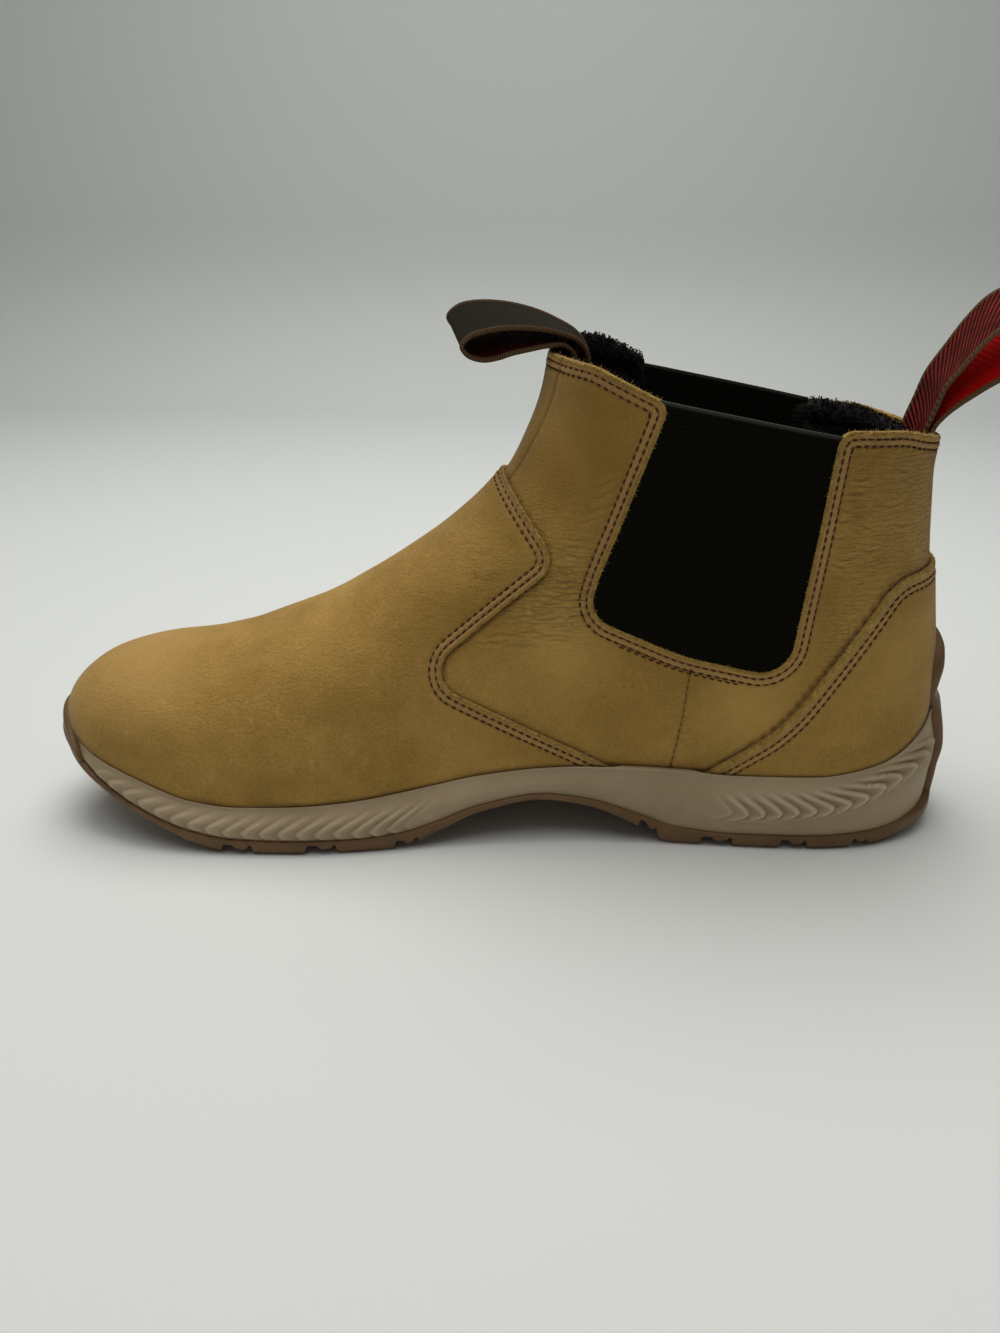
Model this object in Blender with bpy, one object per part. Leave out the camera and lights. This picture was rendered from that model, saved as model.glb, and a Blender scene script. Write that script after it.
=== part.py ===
"""A pull-on boot for the right foot, as the separate pieces that a maker joins.

The toe points to +X, the inner (medial) side of the foot to +Y, and the sole stands on z = 0.
Sizes and tables are in millimetres, and each mesh is written in metres.
"""
import math

import bpy
import numpy as np

# Units and origin: the middle of the whole boot's box lies over the origin
MM = 0.001
ORIGIN_X = 8.8
ORIGIN_Y = 2.1

# Driving sizes
UPPER_WALL = 2.4
OVERLAY = 1.5
SEAM_GAP = 0.3
CUP_GAP = 0.45
INSOLE_GAP = 0.6
RAND_GAP = 0.9
ELASTIC = 1.4
ELASTIC_INSET = 0.5
INSOLE = 3.0
MIDSOLE_LIP = 3.0
MIDSOLE_BULGE = 0.8
LIP_ROUND = 0.8
TOE_RAND_TOP = 41.0
HEEL_TAB_TOP = 66.0
EDGE_WALL = 1.2
RAND_WALL = 2.4
GROOVE_DEPTH = 2.8
LOOP_WIDTH = 23.0
WEBBING = 1.6

# The last: the fan's pivot, the swing of the toe and the turn of the wall under the foot
PIVOT_X = -65.0
TOE_SWING = 9.0
SWING_START = 30.0
SWING_END = 151.0
TURN_IN = 0.05
TURN_HEIGHT = 18.0
SHAFT_START = 35.0
SHAFT_FULL = 95.0
COLLAR_DIP = 3.5
DIP_FROM = 0.8
CHIMNEY = 500.0
CHIMNEY_LEAN = 4.0

# Mesh fineness: columns from heel to toe on each side, rings from sole to collar, points on curves
COLUMNS = 25
RINGS = 19
RING_CROWDING = 1.3
OUTLINE_POINTS = 400
CHIMNEY_POINTS = 200
STRETCH_POINTS = 24
RING_TRIES = 241
BITE_POINTS = 30
CORNER_STEPS = 4
MITRE_LIMIT = 0.4
SHARP_ANGLE = math.radians(40.0)

# Underside of the last
LAST_BOTTOM = np.array([
    # x, z
    (-160.0, 21.0),
    (-110.0, 20.0),
    (-60.0, 21.0),
    (-20.0, 21.6),
    (0.0, 20.0),
    (25.0, 16.2),
    (45.0, 12.8),
    (65.0, 10.8),
    (85.0, 11.3),
    (100.0, 14.0),
    (120.0, 21.0),
    (142.0, 28.5),
    (165.0, 35.0),
])

# Centre line of the front, from the toe's foot over the vamp and instep to the collar
FRONT_LINE = np.array([
    # x, z
    (150.5, 31.2),
    (151.2, 36.5),
    (148.6, 44.5),
    (140.0, 52.5),
    (128.0, 57.0),
    (110.0, 59.5),
    (82.0, 66.0),
    (52.0, 79.0),
    (17.0, 102.3),
    (0.0, 119.0),
    (-8.0, 134.0),
    (-12.3, 146.0),
    (-14.5, 158.5),
])

# Centre line of the back, from the heel's seat to the collar
BACK_LINE = np.array([
    # x, z
    (-145.0, 20.8),
    (-146.8, 35.0),
    (-147.0, 50.0),
    (-146.0, 65.0),
    (-143.5, 82.0),
    (-140.8, 100.0),
    (-139.0, 118.0),
    (-137.5, 134.0),
])

# Half widths of the foot on each side of its centre line
FOOT_WIDTH = np.array([
    # x, medial, lateral
    (-160.0, 33.0, 33.0),
    (-110.0, 33.0, 33.0),
    (-70.0, 32.0, 34.5),
    (-30.0, 31.5, 38.0),
    (10.0, 35.5, 45.0),
    (45.0, 41.5, 50.0),
    (70.0, 44.0, 50.5),
    (100.0, 44.5, 49.0),
    (130.0, 44.5, 46.5),
    (165.0, 44.0, 46.0),
])

# Half width of the shaft at heights over the last's underside
SHAFT_WIDTH = np.array([
    # height, half width
    (0.0, 34.0),
    (60.0, 36.0),
    (95.0, 36.5),
    (140.0, 38.0),
    (200.0, 38.0),
])

# How square the form is along each direction of the fan, 0 at the toe and 180 at the heel
FAN_SQUARENESS = np.array([
    # angle, power
    (0.0, 7.0),
    (8.0, 6.2),
    (15.0, 5.0),
    (30.0, 4.0),
    (45.0, 3.6),
    (60.0, 3.2),
    (75.0, 3.0),
    (105.0, 3.0),
    (120.0, 3.2),
    (150.0, 4.0),
    (165.0, 4.6),
    (180.0, 5.0),
])

# The sole along the foot: height of the tread, rubber below the midsole, height of the line where
# rubber and midsole meet, height of the midsole's top edge, flare beyond the upper, and how far
# the tread's edge is tucked under
SOLE = np.array([
    # x, tread, rubber, joint, bite, flare, tuck
    (-160.0, 12.0, 4.0, 16.0, 44.0, 7.0, 7.0),
    (-150.0, 5.5, 4.2, 13.0, 41.5, 6.5, 6.0),
    (-140.0, 1.0, 4.3, 9.0, 38.5, 6.0, 4.0),
    (-125.0, 0.0, 4.4, 6.0, 29.5, 5.5, 2.0),
    (-105.0, 0.0, 4.4, 4.8, 25.8, 5.0, 1.5),
    (-80.0, 0.0, 4.4, 4.7, 25.6, 4.8, 1.5),
    (-60.0, 0.0, 4.4, 6.5, 26.8, 4.5, 1.5),
    (-50.0, 5.0, 2.6, 10.0, 27.2, 4.2, 1.5),
    (-30.0, 13.2, 1.8, 16.0, 27.5, 4.0, 1.5),
    (-14.0, 15.5, 1.8, 17.8, 27.0, 4.0, 1.5),
    (5.0, 12.0, 1.8, 14.8, 25.2, 4.2, 1.5),
    (22.0, 4.5, 2.6, 9.0, 22.0, 4.8, 1.5),
    (31.0, 0.0, 4.4, 6.6, 20.3, 5.2, 1.5),
    (50.0, 0.0, 4.4, 4.8, 17.2, 5.8, 1.5),
    (68.0, 0.0, 4.4, 4.7, 16.0, 6.0, 1.5),
    (87.0, 0.0, 4.4, 5.2, 16.2, 6.0, 1.5),
    (102.0, 2.0, 4.4, 9.0, 19.4, 5.8, 3.0),
    (120.0, 8.0, 4.4, 16.5, 26.5, 4.4, 6.0),
    (135.0, 15.5, 4.4, 24.5, 32.0, 3.0, 8.0),
    (148.0, 24.0, 4.2, 31.0, 36.8, 1.8, 8.0),
    (160.0, 32.0, 4.0, 36.0, 40.0, 1.4, 8.0),
])
SOLE_COLUMN = {"tread": 1, "rubber": 2, "joint": 3, "bite": 4, "flare": 5, "tuck": 6}
ARCH_FROM = -60.0
ARCH_TO = 31.0
ARCH_RUN = 25.0
LATERAL_ARCH = 0.45
SEAT_INSET = 9.0
BULGE_AT = 0.5
EDGE_DROP = 3.0
EDGE_LOWEST = 1.2
RAND_FROM = 136.0
TAB_FROM = -136.0
RISING_RUN = 20.0
RISING_LAP = 2.0
EASE_BEFORE = 12.0
EASE_AFTER = 6.0

# Outlines of the toe rand in the side view and of the heel tab in the back view
TOE_RAND_OUTLINE = [
    # x, z, radius
    (136.0, 20.0, 0.0),
    (138.0, 33.0, 3.0),
    (146.0, 40.5, 4.0),
    (175.0, 42.0, 0.0),
    (175.0, 20.0, 0.0),
]
HEEL_TAB_OUTLINE = [
    # y, z, radius
    (17.0, 0.0, 0.0),
    (16.0, 40.0, 12.0),
    (13.0, 65.5, 7.0),
    (-13.0, 65.5, 7.0),
    (-16.0, 40.0, 12.0),
    (-17.0, 0.0, 0.0),
]

# Grooves across the tread that leave the main lugs standing
GROOVES = [
    # x, width
    (105.0, 6.0),
    (83.1, 10.6),
    (54.9, 10.7),
    (-78.4, 10.9),
    (-103.9, 9.4),
    (-126.5, 6.0),
]
GROOVE_V = 7.0
GROOVE_BELOW = 10.0

# Side outlines of the cut-out for the elastic and of the two overlays, with corner radii
GUSSET_OUTLINE = [
    # x, z, radius
    (-54.0, 172.0, 0.0),
    (-43.0, 124.0, 70.0),
    (-29.6, 79.5, 9.0),
    (-60.0, 66.8, 80.0),
    (-93.2, 60.0, 10.0),
    (-105.5, 172.0, 0.0),
]
GUSSET_TOP = [
    # x, z
    (-40.0, 149.5),
    (-112.0, 135.8),
]
VAMP_EDGE = [
    # x, z, radius
    (9.5, 134.5, 0.0),
    (-18.8, 96.8, 7.0),
    (21.5, 61.2, 8.0),
    (-46.0, 21.0, 0.0),
]
COUNTER_EDGE = [
    # x, z, radius
    (-170.0, 97.5, 0.0),
    (-124.5, 94.0, 9.0),
    (-92.0, 43.5, 60.0),
    (-62.0, 20.0, 0.0),
]
VAMP_LIMIT = 175.0
COUNTER_LIMIT = -175.0
CUTTER_REACH = 90.0

# Routes of the pull loops in the side view, from one sewn end round to the other, and how far
# the webbing is turned over towards the medial side
FRONT_LOOP = [
    # x, z, turn
    (-17.4, 139.0, 0.0),
    (-20.2, 150.0, 0.0),
    (-20.8, 158.0, 0.0),
    (-17.6, 162.6, 0.1),
    (-9.0, 163.6, 0.5),
    (3.0, 161.0, 0.9),
    (11.5, 161.6, 1.0),
    (15.6, 165.6, 1.0),
    (12.5, 170.4, 1.0),
    (3.0, 172.2, 0.9),
    (-10.0, 171.2, 0.5),
    (-19.5, 167.2, 0.1),
    (-23.0, 160.0, 0.0),
    (-22.4, 150.0, 0.0),
    (-19.6, 139.0, 0.0),
]
REAR_LOOP = [
    # x, z, turn
    (-128.2, 116.0, 0.0),
    (-127.6, 134.0, 0.0),
    (-130.6, 145.0, 0.1),
    (-138.0, 155.5, 0.5),
    (-148.0, 164.5, 0.9),
    (-159.0, 170.0, 1.0),
    (-168.5, 169.4, 1.0),
    (-171.6, 163.4, 1.0),
    (-166.0, 156.4, 1.0),
    (-156.0, 150.6, 0.9),
    (-146.0, 145.6, 0.5),
    (-138.0, 141.2, 0.1),
    (-131.8, 136.8, 0.0),
    (-129.9, 130.0, 0.0),
    (-130.4, 116.0, 0.0),
]
LOOP_TURN = math.radians(26.0)
LOOP_LEAN = 0.3
LOOP_STEPS = 3

# Colours (linear), roughness
NUBUCK = ((0.43, 0.27, 0.09), 0.85)
GUM_RUBBER = ((0.14, 0.06, 0.025), 0.6)
TAUPE_FOAM = ((0.30, 0.23, 0.17), 0.7)
BLACK_ELASTIC = ((0.008, 0.007, 0.006), 0.9)
DARK_WEBBING = ((0.05, 0.03, 0.02), 0.85)
FOOTBED_CLOTH = ((0.02, 0.02, 0.02), 0.95)


def smooth_table(table, x, column=1):
    """A cubic through a table's rows that never overshoots them."""
    xs = table[:, 0]
    ys = table[:, column]
    x = np.clip(np.asarray(x, float), xs[0], xs[-1])
    slope = np.diff(ys) / np.diff(xs)
    tangent = np.concatenate([slope[:1], np.zeros(len(xs) - 2), slope[-1:]])
    before, after = slope[:-1], slope[1:]
    same_way = before * after > 0
    total = np.where(same_way, before + after, 1.0)
    tangent[1:-1] = np.where(same_way, 2 * before * after / total, 0.0)
    k = np.clip(np.searchsorted(xs, x) - 1, 0, len(xs) - 2)
    width = xs[k + 1] - xs[k]
    s = (x - xs[k]) / width
    start = ys[k] * (1 + 2 * s) * (1 - s) ** 2 + tangent[k] * width * s * (1 - s) ** 2
    end = ys[k + 1] * s * s * (3 - 2 * s) + tangent[k + 1] * width * s * s * (s - 1)
    return start + end


def smooth_step(x, low, high):
    t = np.clip((np.asarray(x, float) - low) / (high - low), 0.0, 1.0)
    return t * t * (3 - 2 * t)


def smooth_curve(rows, count):
    """A centripetal Catmull-Rom curve through rows of numbers, evenly spaced by its first two."""
    p = np.asarray(rows, float)
    p = np.vstack([2 * p[0] - p[1], p, 2 * p[-1] - p[-2]])
    stretches = []
    for i in range(1, len(p) - 2):
        knot = [0.0]
        for a, b in zip(p[i - 1:i + 2], p[i:i + 3]):
            knot.append(knot[-1] + math.sqrt(np.linalg.norm((b - a)[:2])))
        t = np.linspace(knot[1], knot[2], STRETCH_POINTS, endpoint=False)[:, None]
        a1 = ((knot[1] - t) * p[i - 1] + (t - knot[0]) * p[i]) / (knot[1] - knot[0])
        a2 = ((knot[2] - t) * p[i] + (t - knot[1]) * p[i + 1]) / (knot[2] - knot[1])
        a3 = ((knot[3] - t) * p[i + 1] + (t - knot[2]) * p[i + 2]) / (knot[3] - knot[2])
        b1 = ((knot[2] - t) * a1 + (t - knot[0]) * a2) / (knot[2] - knot[0])
        b2 = ((knot[3] - t) * a2 + (t - knot[1]) * a3) / (knot[3] - knot[1])
        stretches.append(((knot[2] - t) * b1 + (t - knot[1]) * b2) / (knot[2] - knot[1]))
    line = np.vstack(stretches + [p[-2][None]])
    run = np.linalg.norm(np.diff(line[:, :2], axis=0), axis=1)
    length = np.concatenate([[0.0], np.cumsum(run)])
    at = np.linspace(0.0, length[-1], count)
    return np.stack([np.interp(at, length, column) for column in line.T], 1)


def last_bottom(x):
    return smooth_table(LAST_BOTTOM, x)


def flattened(rows):
    """Side view rows with their heights taken from the last's underside."""
    line = rows.copy()
    line[:, 1] -= last_bottom(line[:, 0])
    line[0, 1] = 0.0
    return line


def moved_out(line, grow, side):
    run = np.gradient(line, axis=0)
    run /= np.linalg.norm(run, axis=1)[:, None]
    return line + grow * side * np.stack([run[:, 1], -run[:, 0]], 1)


class Outline:
    """The side outline of the form, grown outwards, and its reach along each fan direction."""

    made = {}

    def __init__(self, grow):
        self.front = moved_out(smooth_curve(flattened(FRONT_LINE), OUTLINE_POINTS), grow, 1)
        self.back = moved_out(smooth_curve(flattened(BACK_LINE), OUTLINE_POINTS), grow, -1)
        rise = np.linspace(0.0, 1.0, CHIMNEY_POINTS)[1:, None]
        above_front = self.front[-1] + rise * [-CHIMNEY_LEAN, CHIMNEY]
        above_back = self.back[-1] + rise * [CHIMNEY_LEAN, CHIMNEY]
        below_front = self.front[:1] - [[0.0, CHIMNEY]]
        below_back = self.back[:1] - [[0.0, CHIMNEY]]
        line = np.vstack([below_front, self.front, above_front,
                          above_back[::-1], self.back[::-1], below_back])
        arm = line - [PIVOT_X, 0.0]
        angle = np.unwrap(np.arctan2(arm[:, 1], arm[:, 0]))
        order = np.argsort(angle)
        self.angle = angle[order]
        self.per_reach = 1.0 / np.hypot(arm[:, 0], arm[:, 1])[order]

    @classmethod
    def grown(cls, grow):
        key = round(grow, 4)
        if key not in cls.made:
            cls.made[key] = cls(key)
        return cls.made[key]

    def share(self, x, height):
        """How far a side view point lies along the fan, 1 at the outline, and its direction."""
        across = x - PIVOT_X
        angle = np.arctan2(height, across)
        angle = np.where(angle < -np.pi / 2, angle + 2 * np.pi, angle)
        return np.hypot(across, height) * np.interp(angle, self.angle, self.per_reach), angle


def centre_line(x):
    swing = np.clip((x - SWING_START) / (SWING_END - SWING_START), 0.0, None)
    return TOE_SWING * swing ** 2


def half_width(x, height, side, grow):
    """Half width of the grown form at a side view point; side is 1 medial or -1 lateral."""
    share, angle = Outline.grown(grow).share(x, height)
    power = np.interp(np.degrees(angle), FAN_SQUARENESS[:, 0], FAN_SQUARENESS[:, 1])
    turn = 1.0 - TURN_IN * (1.0 - smooth_step(height, 0.0, TURN_HEIGHT))
    foot = smooth_table(FOOT_WIDTH, x, 1 if side > 0 else 2) * turn
    shaft = smooth_step(height, SHAFT_START, SHAFT_FULL)
    width = foot * (1.0 - shaft) + smooth_table(SHAFT_WIDTH, height) * shaft + grow
    return width * np.sqrt(np.clip(1.0 - share ** power, 0.0, None))


def ring_point(v, q, grow):
    """Side view point on ring v (0 sole, 1 collar) at share q of the way from back to front."""
    outline = Outline.grown(grow)
    place = np.asarray(v, float) * (len(outline.front) - 1)
    low = np.clip(place.astype(int), 0, len(outline.front) - 2)
    part = (place - low)[..., None]
    front = outline.front[low] * (1 - part) + outline.front[low + 1] * part
    back = outline.back[low] * (1 - part) + outline.back[low + 1] * part
    point = back + (front - back) * q[..., None]
    dip = COLLAR_DIP * smooth_step(v, DIP_FROM, 1.0) * np.sin(np.pi * q)
    return point[..., 0], point[..., 1] - dip


STATION = (1.0 - np.cos(np.pi * np.linspace(0.0, 1.0, COLUMNS))) / 2.0


def ring_at_height(height, grow):
    """Ring number of every column where the grown form reaches a height over the last."""
    tries = np.linspace(0.0, 1.0, RING_TRIES)
    _, heights = ring_point(tries[:, None] * np.ones(COLUMNS), STATION * np.ones((RING_TRIES, 1)), grow)
    wanted = np.maximum(height, 0.0)
    return np.array([np.interp(w, h, tries) for w, h in zip(wanted, heights.T)])


def around(medial, lateral):
    """One closed ring of points from a medial and a lateral row, which meet on the centre line."""
    for end in (0, -1):
        medial[end, 1] = centre_line(medial[end, 0])
    return np.vstack([medial, lateral[-2:0:-1]])


def form_ring(v, grow):
    """The grown form's ring at ring numbers v, one for each column."""
    x, height = ring_point(v * np.ones(COLUMNS), STATION, grow)
    rows = []
    for side in (1, -1):
        y = centre_line(x) + side * half_width(x, height, side, grow)
        rows.append(np.stack([x, y, height + last_bottom(x)], 1))
    return around(*rows)


STATION_X = ring_point(np.zeros(COLUMNS), STATION, 0.0)[0]


def sole_value(name, side, x=STATION_X):
    """One column of the sole table at every station; the lateral arch is lower."""
    value = smooth_table(SOLE, x, SOLE_COLUMN[name])
    if side > 0 or name not in ("tread", "joint"):
        return value
    rise = smooth_step(x, ARCH_FROM, ARCH_FROM + ARCH_RUN)
    arch = rise * (1 - smooth_step(x, ARCH_TO - ARCH_RUN, ARCH_TO))
    lowest = 0.0 if name == "tread" else smooth_table(SOLE, ARCH_FROM, SOLE_COLUMN["joint"])
    return value - LATERAL_ARCH * arch * (value - lowest)


def sole_ring(reach, height):
    """A ring of the sole: how far it stands out from the upper and its height, for each side."""
    rows = []
    for side in (1, -1):
        grow, z = reach(side), height(side)
        over_last = np.maximum(z - last_bottom(STATION_X), 0.0)
        row = []
        for k in range(COLUMNS):
            v = ring_at_height(over_last[k] * np.ones(COLUMNS), grow[k])[k]
            x, h = ring_point(np.array([v]), STATION[k:k + 1], grow[k])
            y = centre_line(x) + side * half_width(x, h, side, grow[k])
            row.append((x[0], y[0], z[k]))
        rows.append(np.array(row))
    return around(*rows)


def floor_ring(reach, height):
    """A ring under the sole's edge, whose height follows from where it lies along the foot."""
    ring = sole_ring(reach, lambda side: np.zeros(COLUMNS))
    for side, columns in ((1, slice(0, COLUMNS)), (-1, slice(COLUMNS, None))):
        ring[columns, 2] = height(side, ring[columns, 0])
    return ring


def strip_faces(low, high, count, rising):
    """Triangles between two neighbouring rings of count points, with first points low and high.

    A strip of a rising run of rings takes the other diagonal, so that the facets of two walls
    that face each other lie parallel, and the lateral side mirrors the medial one."""
    faces = []
    for j in range(count):
        k = (j + 1) % count
        lateral = j >= COLUMNS - 1
        if rising != lateral:
            faces += [(low + j, high + j, low + k), (low + k, high + j, high + k)]
        else:
            faces += [(low + j, high + k, low + k), (low + j, high + j, high + k)]
    return faces


def cap_faces(first, up):
    """Rungs across a ring from its medial to its lateral side; up tells which way they face."""
    count = 2 * COLUMNS - 2
    faces = []
    for j in range(COLUMNS - 1):
        a, b = first + j, first + j + 1
        c, d = first + (count - j - 1) % count, first + (count - j) % count
        faces += [(a, b, c), (a, c, d)]
    faces = [f for f in faces if len(set(f)) == 3]
    return [f[::-1] for f in faces] if up else faces


def ring_solid(name, rings, closed, finish, rising=()):
    """A solid from rings that run from the middle of its top over the outside to its underside.

    With closed the last ring joins the first, as in the wall of the upper. rising holds the
    numbers of the strips whose second ring lies higher."""
    count = 2 * COLUMNS - 2
    points = np.vstack(rings)
    faces = []
    for i in range(len(rings) - 1):
        faces += strip_faces((i + 1) * count, i * count, count, i in rising)
    if closed:
        faces += strip_faces(0, (len(rings) - 1) * count, count, False)
    else:
        faces += cap_faces(0, True) + cap_faces((len(rings) - 1) * count, False)
    return make_object(name, points, faces, finish)


def make_object(name, points, faces, finish):
    world = (np.asarray(points, float) + [ORIGIN_X, ORIGIN_Y, 0.0]) * MM
    mesh = bpy.data.meshes.new(name)
    mesh.from_pydata(world.tolist(), [], [tuple(int(i) for i in f) for f in faces])
    mesh.validate()
    thing = bpy.data.objects.new(name, mesh)
    bpy.context.collection.objects.link(thing)
    if finish is None:
        thing.hide_render = True
        thing.display_type = "WIRE"
        return thing
    colour, roughness = finish
    material = bpy.data.materials.new(name + "_finish")
    material.use_nodes = True
    shader = material.node_tree.nodes["Principled BSDF"]
    shader.inputs["Base Color"].default_value = (*colour, 1.0)
    shader.inputs["Roughness"].default_value = roughness
    mesh.materials.append(material)
    mesh.shade_smooth()
    mesh.set_sharp_from_angle(angle=SHARP_ANGLE)
    return thing


def cut(thing, cutter, operation):
    change = thing.modifiers.new(cutter.name, "BOOLEAN")
    change.operation = operation
    change.solver = "EXACT"
    change.object = cutter


def rounded(rows, steps=CORNER_STEPS):
    """A run of side view corners with each corner turned by an arc of its radius."""
    line = []
    for i, (x, z, radius) in enumerate(rows):
        corner = np.array([x, z])
        if radius == 0.0:
            line.append(corner)
            continue
        before = np.array(rows[i - 1][:2]) - corner
        after = np.array(rows[i + 1][:2]) - corner
        before /= np.linalg.norm(before)
        after /= np.linalg.norm(after)
        half = math.acos(np.clip(before @ after, -1, 1)) / 2
        reach = radius / math.tan(half)
        start, end = corner + before * reach, corner + after * reach
        centre = corner + (before + after) / np.linalg.norm(before + after) * radius / math.sin(half)
        for s in np.linspace(0.0, 1.0, steps + 1):
            spoke = (start - centre) * (1 - s) + (end - centre) * s
            line.append(centre + spoke / np.linalg.norm(spoke) * radius)
    return np.array(line)


def turning(polygon):
    """1 for a polygon that runs anticlockwise, -1 for one that runs clockwise."""
    ahead = np.roll(polygon, -1, axis=0)
    return np.sign(np.sum(polygon[:, 0] * ahead[:, 1] - ahead[:, 0] * polygon[:, 1]))


def inset(polygon, gap):
    """A closed side view polygon with every edge moved inwards by a gap."""
    ahead = np.roll(polygon, -1, axis=0) - polygon
    ahead /= np.linalg.norm(ahead, axis=1)[:, None]
    normal = turning(polygon) * np.stack([-ahead[:, 1], ahead[:, 0]], 1)
    both = normal + np.roll(normal, 1, axis=0)
    scale = 2.0 / np.maximum(np.sum(both * both, axis=1), MITRE_LIMIT)
    return polygon + gap * both * scale[:, None]


def prism(name, polygon, low, high, along="y"):
    """A cutter: a polygon of the side view drawn out across the boot, or of the back view along it."""
    n = len(polygon)
    ring = polygon if (turning(polygon) > 0) == (along == "y") else polygon[::-1]
    if along == "y":
        points = [(a, t, z) for t in (low, high) for a, z in ring]
    else:
        points = [(t, a, z) for t in (low, high) for a, z in ring]
    faces = [tuple(range(n)), tuple(range(2 * n - 1, n - 1, -1))]
    for i in range(n):
        k = (i + 1) % n
        faces.append((i, n + i, n + k, k))
    return make_object(name, points, faces, None)


def wall_solid(name, inner, outer, finish):
    """A wall between two grown forms, from its rings down the outside and up the inside."""
    steps = np.linspace(0.0, 1.0, RINGS) ** RING_CROWDING
    rings = [form_ring(v, outer) for v in steps[::-1]] + [form_ring(v, inner) for v in steps]
    return ring_solid(name, rings, True, finish, range(RINGS, 2 * RINGS))


def bite_line(x_low, x_high, lift):
    xs = np.linspace(x_low, x_high, BITE_POINTS)
    return np.stack([xs, smooth_table(SOLE, xs, SOLE_COLUMN["bite"]) + lift], 1)


def make_upper():
    """Quarters and shaft as one hollow wall, open underneath, at the collar and at both gussets."""
    upper = wall_solid("upper", -UPPER_WALL, 0.0, NUBUCK)
    opening = prism("gusset_opening", rounded(GUSSET_OUTLINE), -CUTTER_REACH, CUTTER_REACH)
    cut(upper, opening, "DIFFERENCE")


def make_gussets():
    """The two elastic panels, a little below the leather's outer face and the collar."""
    outline = inset(rounded(GUSSET_OUTLINE), SEAM_GAP)
    (x1, z1), (x2, z2) = GUSSET_TOP
    top = z1 + (outline[:, 0] - x1) * (z2 - z1) / (x2 - x1)
    for end, beside in ((0, outline[1]), (-1, outline[-2])):
        t = (top[end] - beside[1]) / (outline[end, 1] - beside[1])
        outline[end] = beside + t * (outline[end] - beside)
    for side, name in ((1, "gusset_medial"), (-1, "gusset_lateral")):
        panel = wall_solid(name, -ELASTIC_INSET - ELASTIC, -ELASTIC_INSET, BLACK_ELASTIC)
        low, high = sorted((0.0, side * CUTTER_REACH))
        cut(panel, prism(name + "_outline", outline, low, high), "INTERSECT")


def make_overlay(name, edge, limit):
    """A proud leather overlay: the wall between two larger forms, kept on one side of its edge."""
    line = rounded(edge)
    bite = bite_line(min(line[-1, 0], limit), max(line[-1, 0], limit), 2 * SEAM_GAP)
    bite = bite if limit > line[-1, 0] else bite[::-1]
    region = np.vstack([line[:-1], bite, [[limit, line[0, 1]]]])
    overlay = wall_solid(name, SEAM_GAP, SEAM_GAP + OVERLAY, NUBUCK)
    cut(overlay, prism(name + "_outline", region, -CUTTER_REACH, CUTTER_REACH), "INTERSECT")


def lip_reach(side):
    """How far the midsole's top edge stands out from the upper: less at the toe."""
    return np.minimum(MIDSOLE_LIP, sole_value("flare", side))


def midsole_reach(side, z):
    """How far the midsole's wall stands out from the upper at height z."""
    joint, bite = sole_value("joint", side), sole_value("bite", side)
    flare = sole_value("flare", side)
    share = np.clip((z - joint) / (bite - LIP_ROUND - joint), 0.0, 1.0)
    lower = flare + MIDSOLE_BULGE * share / BULGE_AT
    to_lip = lip_reach(side) - flare - MIDSOLE_BULGE
    upper = flare + MIDSOLE_BULGE + to_lip * (share - BULGE_AT) / (1.0 - BULGE_AT)
    return np.where(share < BULGE_AT, lower, upper)


def seat_height(side, x):
    """Height of the midsole's underside, inside its edge."""
    over_tread = sole_value("tread", side, x) + sole_value("rubber", side, x)
    return np.minimum(over_tread, sole_value("joint", side, x))


def make_midsole():
    """The moulded cup: the seat for the upper, the lip around it and the bulging side wall."""
    cup = CUP_GAP * np.ones(COLUMNS)
    bottom = last_bottom(STATION_X)

    def bite(side):
        return sole_value("bite", side)

    def joint(side):
        return sole_value("joint", side)

    rings = [
        sole_ring(lambda s: cup, lambda s: bottom - SEAM_GAP),
        sole_ring(lambda s: cup, lambda s: (bottom + bite(s)) / 2),
        sole_ring(lambda s: cup, bite),
        sole_ring(lip_reach, lambda s: bite(s) - LIP_ROUND),
        sole_ring(lambda s: midsole_reach(s, (joint(s) + bite(s) - LIP_ROUND) / 2),
                  lambda s: (joint(s) + bite(s) - LIP_ROUND) / 2),
        sole_ring(lambda s: midsole_reach(s, joint(s)), joint),
        floor_ring(lambda s: sole_value("flare", s) - SEAT_INSET, seat_height),
    ]
    ring_solid("midsole", rings, False, TAUPE_FOAM, range(2))


def edge_thickness():
    """How far the rubber stands out beyond the midsole: more at the toe and at the heel."""
    toe = smooth_step(STATION_X, RAND_FROM - EASE_BEFORE, RAND_FROM + EASE_AFTER)
    heel = 1.0 - smooth_step(STATION_X, TAB_FROM - EASE_AFTER, TAB_FROM + EASE_BEFORE)
    return EDGE_WALL + (RAND_WALL + RAND_GAP - EDGE_WALL) * np.maximum(toe, heel)


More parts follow.
